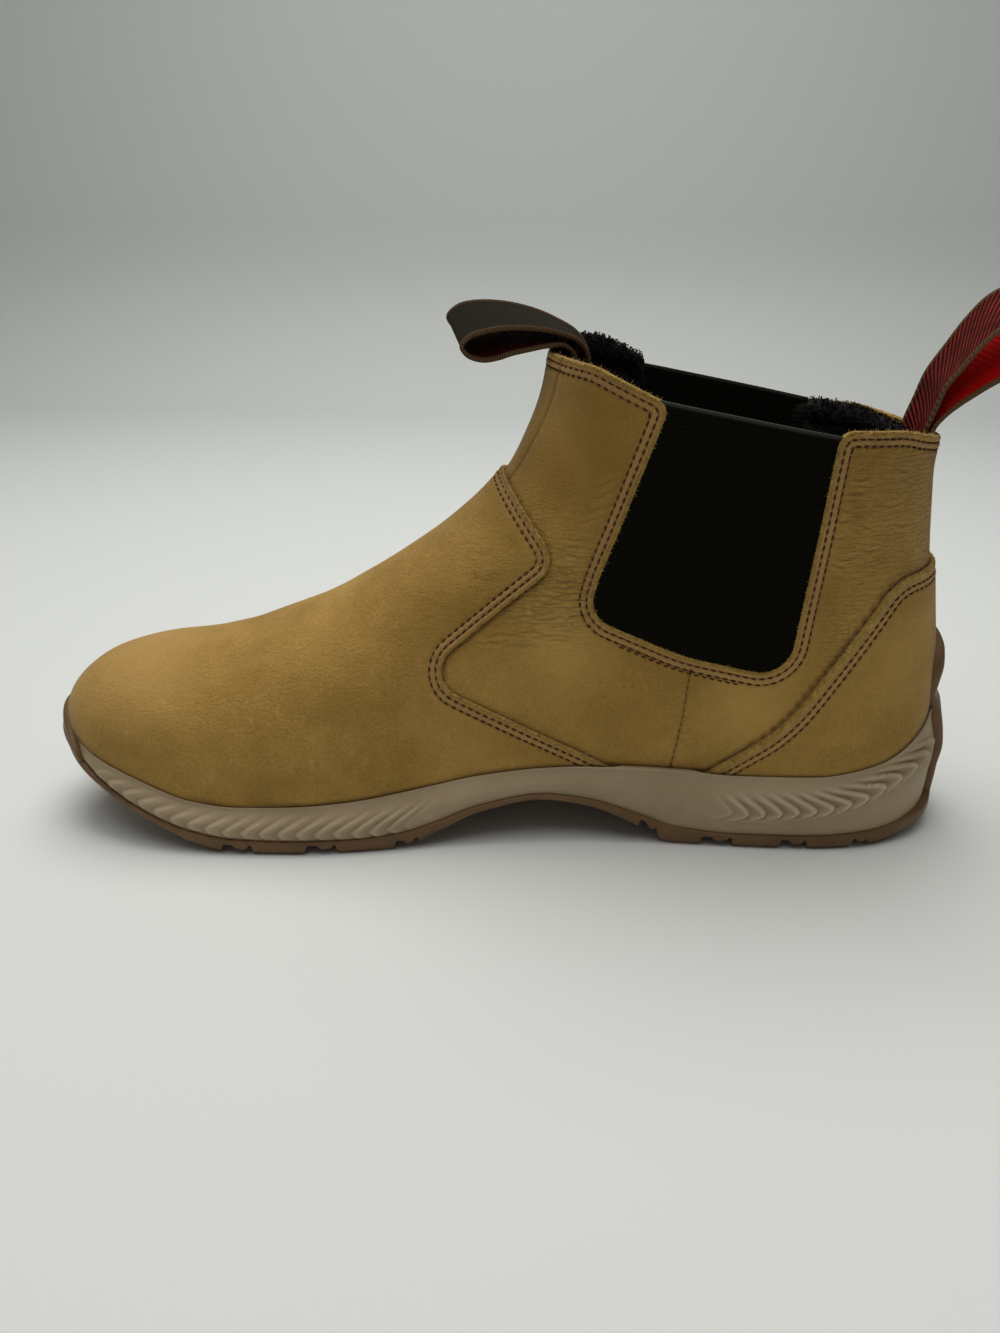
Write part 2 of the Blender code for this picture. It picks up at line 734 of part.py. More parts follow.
def make_rising_wall(name, top, zone, outline, low, high, along):
    """Rubber that climbs over the midsole's wall onto the leather, cut to its outline.

    zone tells which stations reach the top; elsewhere the wall is cut away."""

    def middle(side):
        return (sole_value("joint", side) + sole_value("bite", side) - LIP_ROUND) / 2

    def highest(side):
        return np.where(zone, top, sole_value("bite", side) + RISING_LAP)

    levels = [
        highest,
        lambda s: sole_value("bite", s) - LIP_ROUND,
        middle,
        lambda s: sole_value("joint", s),
        lambda s: sole_value("joint", s) - RISING_LAP,
    ]
    reaches = [
        lambda s: (OVERLAY + RAND_GAP) * np.ones(COLUMNS),
        lambda s: lip_reach(s) + SEAM_GAP,
        lambda s: midsole_reach(s, middle(s)) + SEAM_GAP,
        lambda s: sole_value("flare", s) + SEAM_GAP,
        lambda s: sole_value("flare", s) + SEAM_GAP,
    ]
    pairs = list(zip(reaches, levels))
    rings = [sole_ring(lambda s, r=reach: r(s) + RAND_WALL, level) for reach, level in pairs]
    rings += [sole_ring(reach, level) for reach, level in pairs[::-1]]
    wall = ring_solid(name, rings, True, None, range(len(pairs), 2 * len(pairs)))
    cut(wall, prism(name + "_outline", rounded(outline), low, high, along), "INTERSECT")
    return wall


def make_outsole():
    """The rubber under the midsole with its lugs, the toe rand and the tab up the heel."""

    def reach(side):
        return sole_value("flare", side) + edge_thickness()

    def edge_height(side):
        lowest = sole_value("tread", side) + EDGE_LOWEST
        return np.maximum(lowest, sole_value("joint", side) - EDGE_DROP)

    rings = [
        floor_ring(lambda s: sole_value("flare", s) - SEAT_INSET, lambda s, x: seat_height(s, x) - SEAM_GAP),
        sole_ring(reach, lambda s: sole_value("joint", s) - SEAM_GAP),
        sole_ring(reach, edge_height),
        floor_ring(lambda s: reach(s) - sole_value("tuck", s), lambda s, x: sole_value("tread", s, x)),
    ]
    outsole = ring_solid("outsole", rings, False, GUM_RUBBER, range(1))
    rand = make_rising_wall("toe_rand_form", TOE_RAND_TOP, STATION_X > RAND_FROM - RISING_RUN,
                            TOE_RAND_OUTLINE, -CUTTER_REACH, CUTTER_REACH, "y")
    tab = make_rising_wall("heel_tab_form", HEEL_TAB_TOP, STATION_X < TAB_FROM + RISING_RUN,
                           HEEL_TAB_OUTLINE, COUNTER_LIMIT, TAB_FROM, "x")
    cut(outsole, rand, "UNION")
    cut(outsole, tab, "UNION")
    for number, (x, width) in enumerate(GROOVES):
        cut(outsole, groove_cutter("groove_%d" % number, x, width), "DIFFERENCE")


def groove_cutter(name, x, width):
    """A bar across the tread, bent forwards at the middle, that follows the tread's slope."""
    points = []
    for y, shift in ((-CUTTER_REACH, 0.0), (0.0, GROOVE_V), (CUTTER_REACH, 0.0)):
        for along in (-width / 2, width / 2):
            place = x + along
            tread = smooth_table(SOLE, place, SOLE_COLUMN["tread"])
            for z in (tread - GROOVE_BELOW, tread + GROOVE_DEPTH):
                points.append((place + shift, y, z))
    faces = [(0, 2, 3, 1), (8, 9, 11, 10)]
    for a in (0, 4):
        faces += [(a, a + 4, a + 6, a + 2), (a + 1, a + 3, a + 7, a + 5),
                  (a, a + 1, a + 5, a + 4), (a + 2, a + 6, a + 7, a + 3)]
    return make_object(name, points, faces, None)


def make_insole():
    """The footbed that lies on the midsole inside the upper."""
    bottom = last_bottom(STATION_X)
    reach = -(UPPER_WALL + INSOLE_GAP) * np.ones(COLUMNS)
    rings = [
        sole_ring(lambda s: reach, lambda s: bottom + INSOLE),
        sole_ring(lambda s: reach, lambda s: bottom),
    ]
    ring_solid("insole", rings, False, FOOTBED_CLOTH)


def make_loop(name, route, lean):
    """A pull loop: webbing that runs out of the collar, round a teardrop and back beside itself."""
    line = smooth_curve(route, LOOP_STEPS * (len(route) - 1) + 1)
    run = np.gradient(line[:, :2], axis=0)
    run /= np.linalg.norm(run, axis=1)[:, None]
    normal = np.stack([-run[:, 1], np.zeros(len(run)), run[:, 0]], 1)
    turn = LOOP_TURN * line[:, 2]
    across = np.stack([lean * np.sin(turn), -np.cos(turn), np.sin(turn)], 1)
    across /= np.linalg.norm(across, axis=1)[:, None]
    centre = np.stack([line[:, 0], np.zeros(len(line)), line[:, 1]], 1)
    corners = []
    for side, face in ((-1, -1), (1, -1), (1, 1), (-1, 1)):
        corners.append(centre + across * side * LOOP_WIDTH / 2 + normal * face * WEBBING / 2)
    points = np.stack(corners, 1).reshape(-1, 3)
    faces = [(0, 1, 2, 3), tuple(4 * (len(line) - 1) + k for k in (3, 2, 1, 0))]
    for i in range(len(line) - 1):
        for k in range(4):
            m = (k + 1) % 4
            faces.append((4 * i + k, 4 * (i + 1) + k, 4 * (i + 1) + m, 4 * i + m))
    make_object(name, points, faces, DARK_WEBBING)


def main():
    for thing in list(bpy.data.objects):
        bpy.data.objects.remove(thing, do_unlink=True)
    make_outsole()
    make_midsole()
    make_insole()
    make_upper()
    make_overlay("vamp", VAMP_EDGE, VAMP_LIMIT)
    make_overlay("heel_counter", COUNTER_EDGE, COUNTER_LIMIT)
    make_gussets()
    make_loop("pull_loop_front", FRONT_LOOP, LOOP_LEAN)
    make_loop("pull_loop_rear", REAR_LOOP, -LOOP_LEAN)


main()
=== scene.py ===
# %% [markdown]
# # A pull-on boot in wheat nubuck
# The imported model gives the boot's true sizes as plain solids. This lesson dresses it piece by
# piece: leather panels with stitched edges, ribbed elastic, a moulded midsole, a lugged rubber
# sole, woven pull loops and a padded lining. Every piece is drawn on the same form as the solids,
# so each one lies where its solid lies.

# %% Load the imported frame
import math

import bpy
import numpy as np
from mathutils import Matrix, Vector, kdtree
from mathutils.geometry import delaunay_2d_cdt


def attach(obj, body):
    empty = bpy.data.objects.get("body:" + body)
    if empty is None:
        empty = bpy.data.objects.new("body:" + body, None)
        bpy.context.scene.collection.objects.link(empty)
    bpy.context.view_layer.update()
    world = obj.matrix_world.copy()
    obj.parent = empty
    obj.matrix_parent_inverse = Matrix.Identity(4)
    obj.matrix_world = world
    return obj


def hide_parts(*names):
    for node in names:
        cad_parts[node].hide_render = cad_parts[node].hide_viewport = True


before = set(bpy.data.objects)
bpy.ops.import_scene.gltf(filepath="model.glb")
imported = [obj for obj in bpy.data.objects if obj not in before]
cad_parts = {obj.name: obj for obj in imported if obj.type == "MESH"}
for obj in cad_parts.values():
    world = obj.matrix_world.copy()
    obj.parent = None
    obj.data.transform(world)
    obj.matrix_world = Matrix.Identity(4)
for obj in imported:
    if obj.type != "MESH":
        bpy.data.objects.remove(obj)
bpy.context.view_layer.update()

MM = 0.001
print("frame nodes:", ", ".join(sorted(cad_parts)))

# %% [markdown]
# ## Camera
# The photograph looks down a little on the inner side of the boot. The camera's place was found
# from the boot's own outline. The sizes in this lesson are millimetres in the last's frame (toe to
# +X, inner side to +Y, sole on z = 0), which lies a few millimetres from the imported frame.

# %% Camera
ORIGIN = np.array([8.8, 2.1, 0.0])
CAMERA_PLACE = np.array([-16.5, 355.3, 194.2])
CAMERA_PITCH = math.radians(22.1)
CAMERA_YAW = math.radians(2.79)
FOCAL_PIXELS = 1080.0
PHOTO_PIXELS = 1333.0
SENSOR = 36.0
NEAREST_SEEN = 0.01


def place_camera():
    data = bpy.data.cameras.new("camera")
    data.sensor_width = SENSOR
    data.lens = SENSOR * FOCAL_PIXELS / PHOTO_PIXELS
    data.clip_start = NEAREST_SEEN
    camera = bpy.data.objects.new("camera", data)
    bpy.context.collection.objects.link(camera)
    camera.location = (CAMERA_PLACE + ORIGIN) * MM
    level = math.cos(CAMERA_PITCH)
    look = Vector((math.sin(CAMERA_YAW) * level, -math.cos(CAMERA_YAW) * level, -math.sin(CAMERA_PITCH)))
    camera.rotation_euler = look.to_track_quat("-Z", "Y").to_euler()
    bpy.context.scene.camera = camera


place_camera()
print("camera lens %.2f mm" % bpy.context.scene.camera.data.lens)

# %% [markdown]
# ## Floor
# The boot stands in a white photo box. A sheet of pale paper that sweeps up into a back wall gives the
# plain ground without a line behind the boot. Further up its colour is painted a little greyer, as
# painted shade.

# %% Floor and backdrop
FLOOR_HALF = 1.6
FLOOR_FRONT = 1.92
WALL_AT = -1.05
SWEEP = 0.16
WALL_TOP = 1.6
SWEEP_STEPS = 16
FLOOR_COLOUR = (0.80, 0.82, 0.80, 1.0)
# The wall's greyer colour is painted shade on the same pale paper.
WALL_SHADED_COLOUR = (0.60, 0.63, 0.61, 1.0)
WALL_SHADE_FROM = 0.20
PAPER_ROUGHNESS = 0.75


def make_backdrop():
    rows = [(FLOOR_FRONT, 0.0), (WALL_AT + SWEEP, 0.0)]
    for k in range(1, SWEEP_STEPS + 1):
        turn = 0.5 * math.pi * k / SWEEP_STEPS
        rows.append((WALL_AT + SWEEP - SWEEP * math.sin(turn), SWEEP - SWEEP * math.cos(turn)))
    rows.append((WALL_AT, WALL_TOP))
    points = [(x, y, z) for y, z in rows for x in (-FLOOR_HALF, FLOOR_HALF)]
    faces = [(2 * i, 2 * i + 1, 2 * i + 3, 2 * i + 2) for i in range(len(rows) - 1)]
    mesh = bpy.data.meshes.new("backdrop")
    mesh.from_pydata(points, [], faces)
    mesh.shade_smooth()
    backdrop = bpy.data.objects.new("backdrop", mesh)
    bpy.context.collection.objects.link(backdrop)
    material = bpy.data.materials.new("pale_paper")
    material.use_nodes = True
    shader = material.node_tree.nodes["Principled BSDF"]
    shader.inputs["Roughness"].default_value = PAPER_ROUGHNESS
    tree = material.node_tree
    height = tree.nodes.new("ShaderNodeSeparateXYZ")
    shade = tree.nodes.new("ShaderNodeValToRGB")
    shade.color_ramp.elements[0].color = FLOOR_COLOUR
    shade.color_ramp.elements[1].color = WALL_SHADED_COLOUR
    shade.color_ramp.elements[1].position = WALL_SHADE_FROM
    tree.links.new(tree.nodes.new("ShaderNodeNewGeometry").outputs["Position"], height.inputs[0])
    tree.links.new(height.outputs["Z"], shade.inputs["Fac"])
    tree.links.new(shade.outputs["Color"], shader.inputs["Base Color"])
    mesh.materials.append(material)


make_backdrop()
print("backdrop set")

# %% [markdown]
# ## Light
# Two large soft lamps hang over the box, one behind the boot and one in front of it, and the pale sky
# fills the shadows. Together they give the soft shading on the leather.

# %% Lamps
LAMPS = [
    # name, place, aim, size, watts, colour
    ("overhead", (0.06, -0.30, 1.05), (0.0, -0.05, 0.0), 0.9, 6.7, (1.0, 0.985, 0.95)),
    ("above", (0.04, 0.25, 1.15), (0.0, 0.0, 0.0), 1.1, 4.6, (1.0, 0.99, 0.97)),
]
SKY_COLOUR = (0.93, 0.96, 0.95, 1.0)
SKY_STRENGTH = 0.14


def add_lamp(name, place, aim, size, watts, colour):
    data = bpy.data.lights.new(name, "AREA")
    data.shape = "DISK"
    data.size = size
    data.energy = watts
    data.color = colour
    lamp = bpy.data.objects.new(name, data)
    bpy.context.collection.objects.link(lamp)
    lamp.location = place
    lamp.rotation_euler = (Vector(aim) - Vector(place)).to_track_quat("-Z", "Y").to_euler()


def light_the_box():
    for row in LAMPS:
        add_lamp(*row)
    world = bpy.data.worlds.new("photo_box")
    bpy.context.scene.world = world
    world.use_nodes = True
    sky = world.node_tree.nodes["Background"]
    sky.inputs["Color"].default_value = SKY_COLOUR
    sky.inputs["Strength"].default_value = SKY_STRENGTH
    bpy.context.scene.view_settings.view_transform = "Standard"


light_the_box()
print("lamps set:", len(LAMPS))

# %% [markdown]
# ## The last
# A boot is pulled over a last, a wooden foot. The tables below are the same as in the part's own
# source: the underside, the front and back lines, the half widths and the squareness of the
# sections. Reading them with smooth curves gives a form as fine as we like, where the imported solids
# are faceted.

# %% Tables of the last
LAST_BOTTOM = np.array([
    # x, z
    (-160.0, 21.0), (-110.0, 20.0), (-60.0, 21.0), (-20.0, 21.6), (0.0, 20.0), (25.0, 16.2), (45.0, 12.8),
    (65.0, 10.8), (85.0, 11.3), (100.0, 14.0), (120.0, 21.0), (142.0, 28.5), (165.0, 35.0),
])
FRONT_LINE = np.array([
    # x, z
    (150.5, 31.2), (151.2, 36.5), (148.6, 44.5), (140.0, 52.5), (128.0, 57.0), (110.0, 59.5), (82.0, 66.0),
    (52.0, 79.0), (17.0, 102.3), (0.0, 119.0), (-8.0, 134.0), (-12.3, 146.0), (-14.5, 158.5),
])
BACK_LINE = np.array([
    # x, z
    (-145.0, 20.8), (-146.8, 35.0), (-147.0, 50.0), (-146.0, 65.0), (-143.5, 82.0), (-140.8, 100.0),
    (-139.0, 118.0), (-137.5, 134.0),
])
FOOT_WIDTH = np.array([
    # x, medial, lateral
    (-160.0, 33.0, 33.0), (-110.0, 33.0, 33.0), (-70.0, 32.0, 34.5), (-30.0, 31.5, 38.0), (10.0, 35.5, 45.0),
    (45.0, 41.5, 50.0), (70.0, 44.0, 50.5), (100.0, 44.5, 49.0), (130.0, 44.5, 46.5), (165.0, 44.0, 46.0),
])
SHAFT_WIDTH = np.array([
    # height, half width
    (0.0, 34.0), (60.0, 36.0), (95.0, 36.5), (140.0, 38.0), (200.0, 38.0),
])
FAN_SQUARENESS = np.array([
    # angle, power
    (0.0, 7.0), (8.0, 6.2), (15.0, 5.0), (30.0, 4.0), (45.0, 3.6), (60.0, 3.2), (75.0, 3.0), (105.0, 3.0),
    (120.0, 3.2), (150.0, 4.0), (165.0, 4.6), (180.0, 5.0),
])
PIVOT_X = -65.0
TOE_SWING, SWING_START, SWING_END = 9.0, 30.0, 151.0
TURN_IN, TURN_HEIGHT = 0.05, 18.0
SHAFT_START, SHAFT_FULL = 35.0, 95.0
COLLAR_DIP, DIP_FROM = 3.5, 0.8
CHIMNEY, CHIMNEY_LEAN = 500.0, 4.0
OUTLINE_POINTS = 2400

# %% [markdown]
# ## Reading the tables
# Small readers turn rows into curves: one that never overshoots its rows, a soft step, a bell, and
# one that passes smoothly through points in any direction.

# %% Curve readers


def smooth_table(table, x, column=1):
    xs, ys = table[:, 0], table[:, column]
    x = np.clip(np.asarray(x, float), xs[0], xs[-1])
    slope = np.diff(ys) / np.diff(xs)
    tangent = np.concatenate([slope[:1], np.zeros(len(xs) - 2), slope[-1:]])
    before, after = slope[:-1], slope[1:]
    same_way = before * after > 0
    total = np.where(same_way, before + after, 1.0)
    tangent[1:-1] = np.where(same_way, 2 * before * after / total, 0.0)
    k = np.clip(np.searchsorted(xs, x) - 1, 0, len(xs) - 2)
    width = xs[k + 1] - xs[k]
    s = (x - xs[k]) / width
    start = ys[k] * (1 + 2 * s) * (1 - s) ** 2 + tangent[k] * width * s * (1 - s) ** 2
    end = ys[k + 1] * s * s * (3 - 2 * s) + tangent[k + 1] * width * s * s * (s - 1)
    return start + end


def smooth_step(x, low, high):
    t = np.clip((np.asarray(x, float) - low) / (high - low), 0.0, 1.0)
    return t * t * (3 - 2 * t)


def bell(x, width, power=2):
    return np.exp(-(x / width) ** power)


def unit(vectors):
    return vectors / np.linalg.norm(vectors, axis=-1)[..., None]


def smooth_curve(rows, count, stretch=60):
    p = np.asarray(rows, float)
    p = np.vstack([2 * p[0] - p[1], p, 2 * p[-1] - p[-2]])
    stretches = []
    for i in range(1, len(p) - 2):
        knot = [0.0]
        for a, b in zip(p[i - 1:i + 2], p[i:i + 3]):
            knot.append(knot[-1] + math.sqrt(np.linalg.norm((b - a)[:2])))
        t = np.linspace(knot[1], knot[2], stretch, endpoint=False)[:, None]
        a1 = ((knot[1] - t) * p[i - 1] + (t - knot[0]) * p[i]) / (knot[1] - knot[0])
        a2 = ((knot[2] - t) * p[i] + (t - knot[1]) * p[i + 1]) / (knot[2] - knot[1])
        a3 = ((knot[3] - t) * p[i + 1] + (t - knot[2]) * p[i + 2]) / (knot[3] - knot[2])
        b1 = ((knot[2] - t) * a1 + (t - knot[0]) * a2) / (knot[2] - knot[0])
        b2 = ((knot[3] - t) * a2 + (t - knot[1]) * a3) / (knot[3] - knot[1])
        stretches.append(((knot[2] - t) * b1 + (t - knot[1]) * b2) / (knot[2] - knot[1]))
    line = np.vstack(stretches + [p[-2][None]])
    length = run_length(line[:, :2])
    return rows_at(np.linspace(0.0, length[-1], count), length, line)


def run_length(points):
    steps = np.linalg.norm(np.diff(points, axis=0), axis=1)
    return np.concatenate([[0.0], np.cumsum(steps)])


def rows_at(at, length, rows):
    return np.stack([np.interp(at, length, column) for column in rows.T], 1)


# %% [markdown]
# ## The form
# Seen from the side, the form is a fan around a pivot on the sole. How far a point lies along its
# ray tells how much of the full width is left there. The front and back lines go on straight above
# the collar and below the sole, so that every ray ends somewhere.

# %% Outline and width
CHIMNEY_POINTS = 200


def last_bottom(x):
    return smooth_table(LAST_BOTTOM, x)


def side_outline(rows, side, grow):
    line = rows.copy()
    line[:, 1] -= last_bottom(line[:, 0])
    line[0, 1] = 0.0
    line = smooth_curve(line, OUTLINE_POINTS)
    run = unit(np.gradient(line, axis=0))
    return line + grow * side * np.stack([run[:, 1], -run[:, 0]], 1)


OUTLINES = {}


def outline(grow):
    """The grown side outline: front line, back line, fan angles and one over the reach there."""
    key = round(grow, 3)
    if key not in OUTLINES:
        front = side_outline(FRONT_LINE, 1, key)
        back = side_outline(BACK_LINE, -1, key)
        rise = np.linspace(0.0, 1.0, CHIMNEY_POINTS)[1:, None]
        line = np.vstack([front[:1] - [[0.0, CHIMNEY]], front, front[-1] + rise * [-CHIMNEY_LEAN, CHIMNEY],
                          (back[-1] + rise * [CHIMNEY_LEAN, CHIMNEY])[::-1], back[::-1],
                          back[:1] - [[0.0, CHIMNEY]]])
        arm = line - [PIVOT_X, 0.0]
        angle = np.unwrap(np.arctan2(arm[:, 1], arm[:, 0]))
        order = np.argsort(angle)
        OUTLINES[key] = front, back, angle[order], (1.0 / np.hypot(arm[:, 0], arm[:, 1]))[order]
    return OUTLINES[key]


def centre_line(x):
    return TOE_SWING * np.clip((x - SWING_START) / (SWING_END - SWING_START), 0.0, None) ** 2


def half_width(x, height, side, grow):
    _, _, angles, per_reach = outline(grow)
    across = x - PIVOT_X
    angle = np.arctan2(height, across)
    angle = np.where(angle < -np.pi / 2, angle + 2 * np.pi, angle)
    share = np.hypot(across, height) * np.interp(angle, angles, per_reach)
    power = np.interp(np.degrees(angle), FAN_SQUARENESS[:, 0], FAN_SQUARENESS[:, 1])
    turn = 1.0 - TURN_IN * (1.0 - smooth_step(height, 0.0, TURN_HEIGHT))
    foot = np.where(side > 0, smooth_table(FOOT_WIDTH, x, 1), smooth_table(FOOT_WIDTH, x, 2)) * turn
    shaft = smooth_step(height, SHAFT_START, SHAFT_FULL)
    width = foot * (1.0 - shaft) + smooth_table(SHAFT_WIDTH, height) * shaft + grow
    return width * np.sqrt(np.clip(1.0 - share ** power, 0.0, None))


# %% [markdown]
# ## Places on the form
# Every place on the form has two numbers. The ring number v runs from the sole (0) to the collar (1),
# and U runs from the heel (0) along the inner side to the toe (1) and back along the outer side (2).
# Reading a side view point back to its two numbers takes a search, because the rings are curved.

# %% Points of the form
STEP = 0.002
HIGHEST_RING = 1.1
RING_SEARCH = 40
FULL_TURN = 2.0
SAMPLE_POINTS, SAMPLE_RING = 200, 0.3


def ring_point(v, q, grow):
    front, back, _, _ = outline(grow)
    place = np.asarray(v, float) * (OUTLINE_POINTS - 1)
    low = np.clip(np.floor(place).astype(int), 0, OUTLINE_POINTS - 2)
    part = (place - low)[..., None]
    ahead = front[low] * (1 - part) + front[low + 1] * part
    behind = back[low] * (1 - part) + back[low + 1] * part
    point = behind + (ahead - behind) * q[..., None]
    dip = COLLAR_DIP * smooth_step(v, DIP_FROM, 1.0) * np.sin(np.pi * q)
    return point[..., 0], point[..., 1] - dip


def surface(U, v, grow=0.0):
    """Points of the grown form."""
    U = np.mod(np.asarray(U, float), FULL_TURN)
    side = np.where(U <= 1.0, 1.0, -1.0)
    q = (1.0 - np.cos(np.pi * U)) / 2.0
    x, height = ring_point(v, q, grow)
    y = centre_line(x) + side * half_width(x, height, side, grow)
    return np.stack([x, y, height + last_bottom(x)], -1)


def form_frame(U, v, grow=0.0):
    """Points, outward normals and the two directions along the form, in mm per unit of U and v."""
    along = (surface(U + STEP, v, grow) - surface(U - STEP, v, grow)) / (2 * STEP)
    up = (surface(U, v + STEP, grow) - surface(U, v - STEP, grow)) / (2 * STEP)
    return surface(U, v, grow), unit(-np.cross(along, up)), along, up


def laid(curve):
    """Points of (U, v) rows on the form."""
    return surface(curve[:, 0], curve[:, 1])


def ring_of(x, z, side):
    """(U, v) of side view points on one side of the form."""
    height = z - last_bottom(x)
    low, high = np.zeros_like(x), np.full_like(x, HIGHEST_RING)

    def share_at(v):
        ahead, _ = ring_point(v, np.ones_like(v), 0.0)
        behind, _ = ring_point(v, np.zeros_like(v), 0.0)
        return np.clip((x - behind) / (ahead - behind), 0.0, 1.0)

    for _ in range(RING_SEARCH):
        v = (low + high) / 2
        below = ring_point(v, share_at(v), 0.0)[1] < height
        low, high = np.where(below, v, low), np.where(below, high, v)
    u = np.arccos(1.0 - 2.0 * share_at(v)) / np.pi
    return (u if side > 0 else FULL_TURN - u), v


sample = surface(np.linspace(0.0, FULL_TURN, SAMPLE_POINTS), np.full(SAMPLE_POINTS, SAMPLE_RING))
print("form at ring %.1f spans %.0f x %.0f mm" % (SAMPLE_RING, *np.ptp(sample[:, :2], axis=0)))

# %% [markdown]
# ## Curves on the form
# Seams are drawn in the side view as corners with radii, as a pattern cutter would, and laid on the
# form. A stitch row is the same curve moved sideways over the leather by a set distance.

# %% Drawing curves on the form
ARC_STEPS = 14
END_POINTS = 9
SHIFT_GAP, SHIFT_STEPS = 0.4, 4
UNFOLDED = 0.96


def rounded(rows):
    """Side view corners (x, z, radius), each turned by an arc."""
    line = []
    for i, (x, z, radius) in enumerate(rows):
        corner = np.array([x, z])
        if radius == 0.0:
            line.append(corner)
            continue
        before = unit(np.array(rows[i - 1][:2]) - corner)
        after = unit(np.array(rows[i + 1][:2]) - corner)
        half = math.acos(np.clip(before @ after, -1, 1)) / 2
        start, end = corner + before * radius / math.tan(half), corner + after * radius / math.tan(half)
        centre = corner + unit(before + after) * radius / math.sin(half)
        for s in np.linspace(0.0, 1.0, ARC_STEPS + 1):
            spoke = (start - centre) * (1 - s) + (end - centre) * s
            line.append(centre + unit(spoke) * radius)
    return np.array(line)


def densified(line, gap=0.25):
    """A polyline with a point every gap, and closer points at both ends."""
    length = run_length(line)
    even = np.linspace(0.0, length[-1], int(length[-1] / gap) + 2)
    ends = gap * np.linspace(0.0, 1.0, END_POINTS) ** 2
    at = np.unique(np.concatenate([even, ends, length[-1] - ends]))
    return rows_at(at, length, line)


def even_spacing(curve, gap):
    """A curve of (U, v) rows with one row every gap mm over the form."""
    length = run_length(laid(curve))
    at = np.linspace(0.0, length[-1], max(int(round(length[-1] / gap)), 1) + 1)
    return rows_at(at, length, curve)


def side_curve(rows, side):
    line = densified(rounded(rows))
    U, v = ring_of(line[:, 0], line[:, 1], side)
    return np.stack([U, v], 1)


def shifted(curve, distance, gap=0.6):
    """A curve moved to its left over the form, without the points that fold over at tight corners."""
    start = even_spacing(curve, SHIFT_GAP)
    U, v = start[:, 0].copy(), start[:, 1].copy()
    for _ in range(SHIFT_STEPS):
        point, normal, along, up = form_frame(U, v)
        run = np.gradient(point, axis=0)
        left = np.cross(normal, run)
        left *= distance / SHIFT_STEPS / np.linalg.norm(left, axis=1)[:, None]
        uu, vv = np.sum(along * along, 1), np.sum(up * up, 1)
        uv = np.sum(along * up, 1)
        a, b = np.sum(left * along, 1), np.sum(left * up, 1)
        whole = uu * vv - uv * uv
        U += (a * vv - b * uv) / whole
        v += (b * uu - a * uv) / whole
    away, _ = distances(surface(U, v), laid(start))
    keep = away > UNFOLDED * abs(distance)
    return even_spacing(np.stack([U, v], 1)[keep], gap)


def distances(points, curve):
    """Distance of every point from a dense curve, and how far along the curve the nearest place is."""
    tree = kdtree.KDTree(len(curve))
    for i, p in enumerate(curve):
        tree.insert(p, i)
    tree.balance()
    found = [tree.find(p) for p in points]
    return np.array([f[2] for f in found]), np.array([f[1] for f in found]) / max(len(curve) - 1, 1)


# %% [markdown]
# ## The sole's lines
# The sole is given by heights along the foot: the tread, the joint of rubber and foam, and the bite,
# where the foam's lip closes on the leather. The table is the part's own, but round the toe the bite is
# drawn up to 2.7 mm lower, as the photograph shows it. The leather runs a little way under the lip.

# %% Sole table
SOLE = np.array([
    # x, tread, rubber, joint, bite, flare, tuck
    (-160.0, 12.0, 4.0, 16.0, 60.0, 7.0, 7.0),
    (-150.0, 5.5, 4.2, 13.0, 50.5, 6.5, 6.0),
    (-140.0, 1.0, 4.3, 9.0, 39.0, 6.0, 4.0),
    (-125.0, 0.0, 4.4, 6.0, 29.5, 5.5, 2.0),
    (-105.0, 0.0, 4.4, 4.8, 25.8, 5.0, 1.5),
    (-80.0, 0.0, 4.4, 4.7, 25.6, 4.8, 1.5),
    (-60.0, 0.0, 4.4, 6.5, 26.8, 4.5, 1.5),
    (-50.0, 5.0, 2.6, 10.0, 27.2, 4.2, 1.5),
    (-30.0, 13.2, 1.8, 16.0, 27.5, 4.0, 1.5),
    (-14.0, 15.5, 1.8, 17.8, 27.0, 4.0, 1.5),
    (5.0, 12.0, 1.8, 14.8, 25.2, 4.2, 1.5),
    (22.0, 4.5, 2.6, 9.0, 22.0, 4.8, 1.5),
    (31.0, 0.0, 4.4, 6.6, 20.3, 5.2, 1.5),
    (50.0, 0.0, 4.4, 4.8, 17.2, 5.8, 1.5),
    (68.0, 0.0, 4.4, 4.7, 16.0, 6.0, 1.5),
    (87.0, 0.0, 4.4, 5.2, 15.6, 6.0, 1.5),
    (102.0, 2.0, 4.4, 7.8, 17.4, 5.8, 3.0),
    (120.0, 8.0, 4.4, 14.4, 23.8, 4.4, 6.0),
    (135.0, 15.5, 4.4, 22.3, 29.4, 3.0, 8.0),
    (148.0, 24.0, 4.2, 29.5, 35.2, 1.8, 8.0),
    (160.0, 32.0, 4.0, 36.0, 39.2, 1.4, 8.0),
])
SOLE_COLUMN = {"tread": 1, "rubber": 2, "joint": 3, "bite": 4, "flare": 5, "tuck": 6}
ARCH_FROM, ARCH_TO, ARCH_RUN, LATERAL_ARCH = -60.0, 31.0, 25.0, 0.45
LEATHER_LAP = 2.5
LEVEL_SEARCH, HIGHEST_LEVEL = 34, 0.6
BOTTOM_COLUMNS = 400


def sole_value(name, x, side):
    """A column of the sole table; the outer side's arch is lower."""
    value = smooth_table(SOLE, x, SOLE_COLUMN[name])
    if name not in ("tread", "joint"):
        return value
    rise = smooth_step(x, ARCH_FROM, ARCH_FROM + ARCH_RUN)
    arch = rise * (1 - smooth_step(x, ARCH_TO - ARCH_RUN, ARCH_TO))
    lowest = 0.0 if name == "tread" else smooth_table(SOLE, ARCH_FROM, SOLE_COLUMN["joint"])
    return np.where(side > 0, value, value - LATERAL_ARCH * arch * (value - lowest))


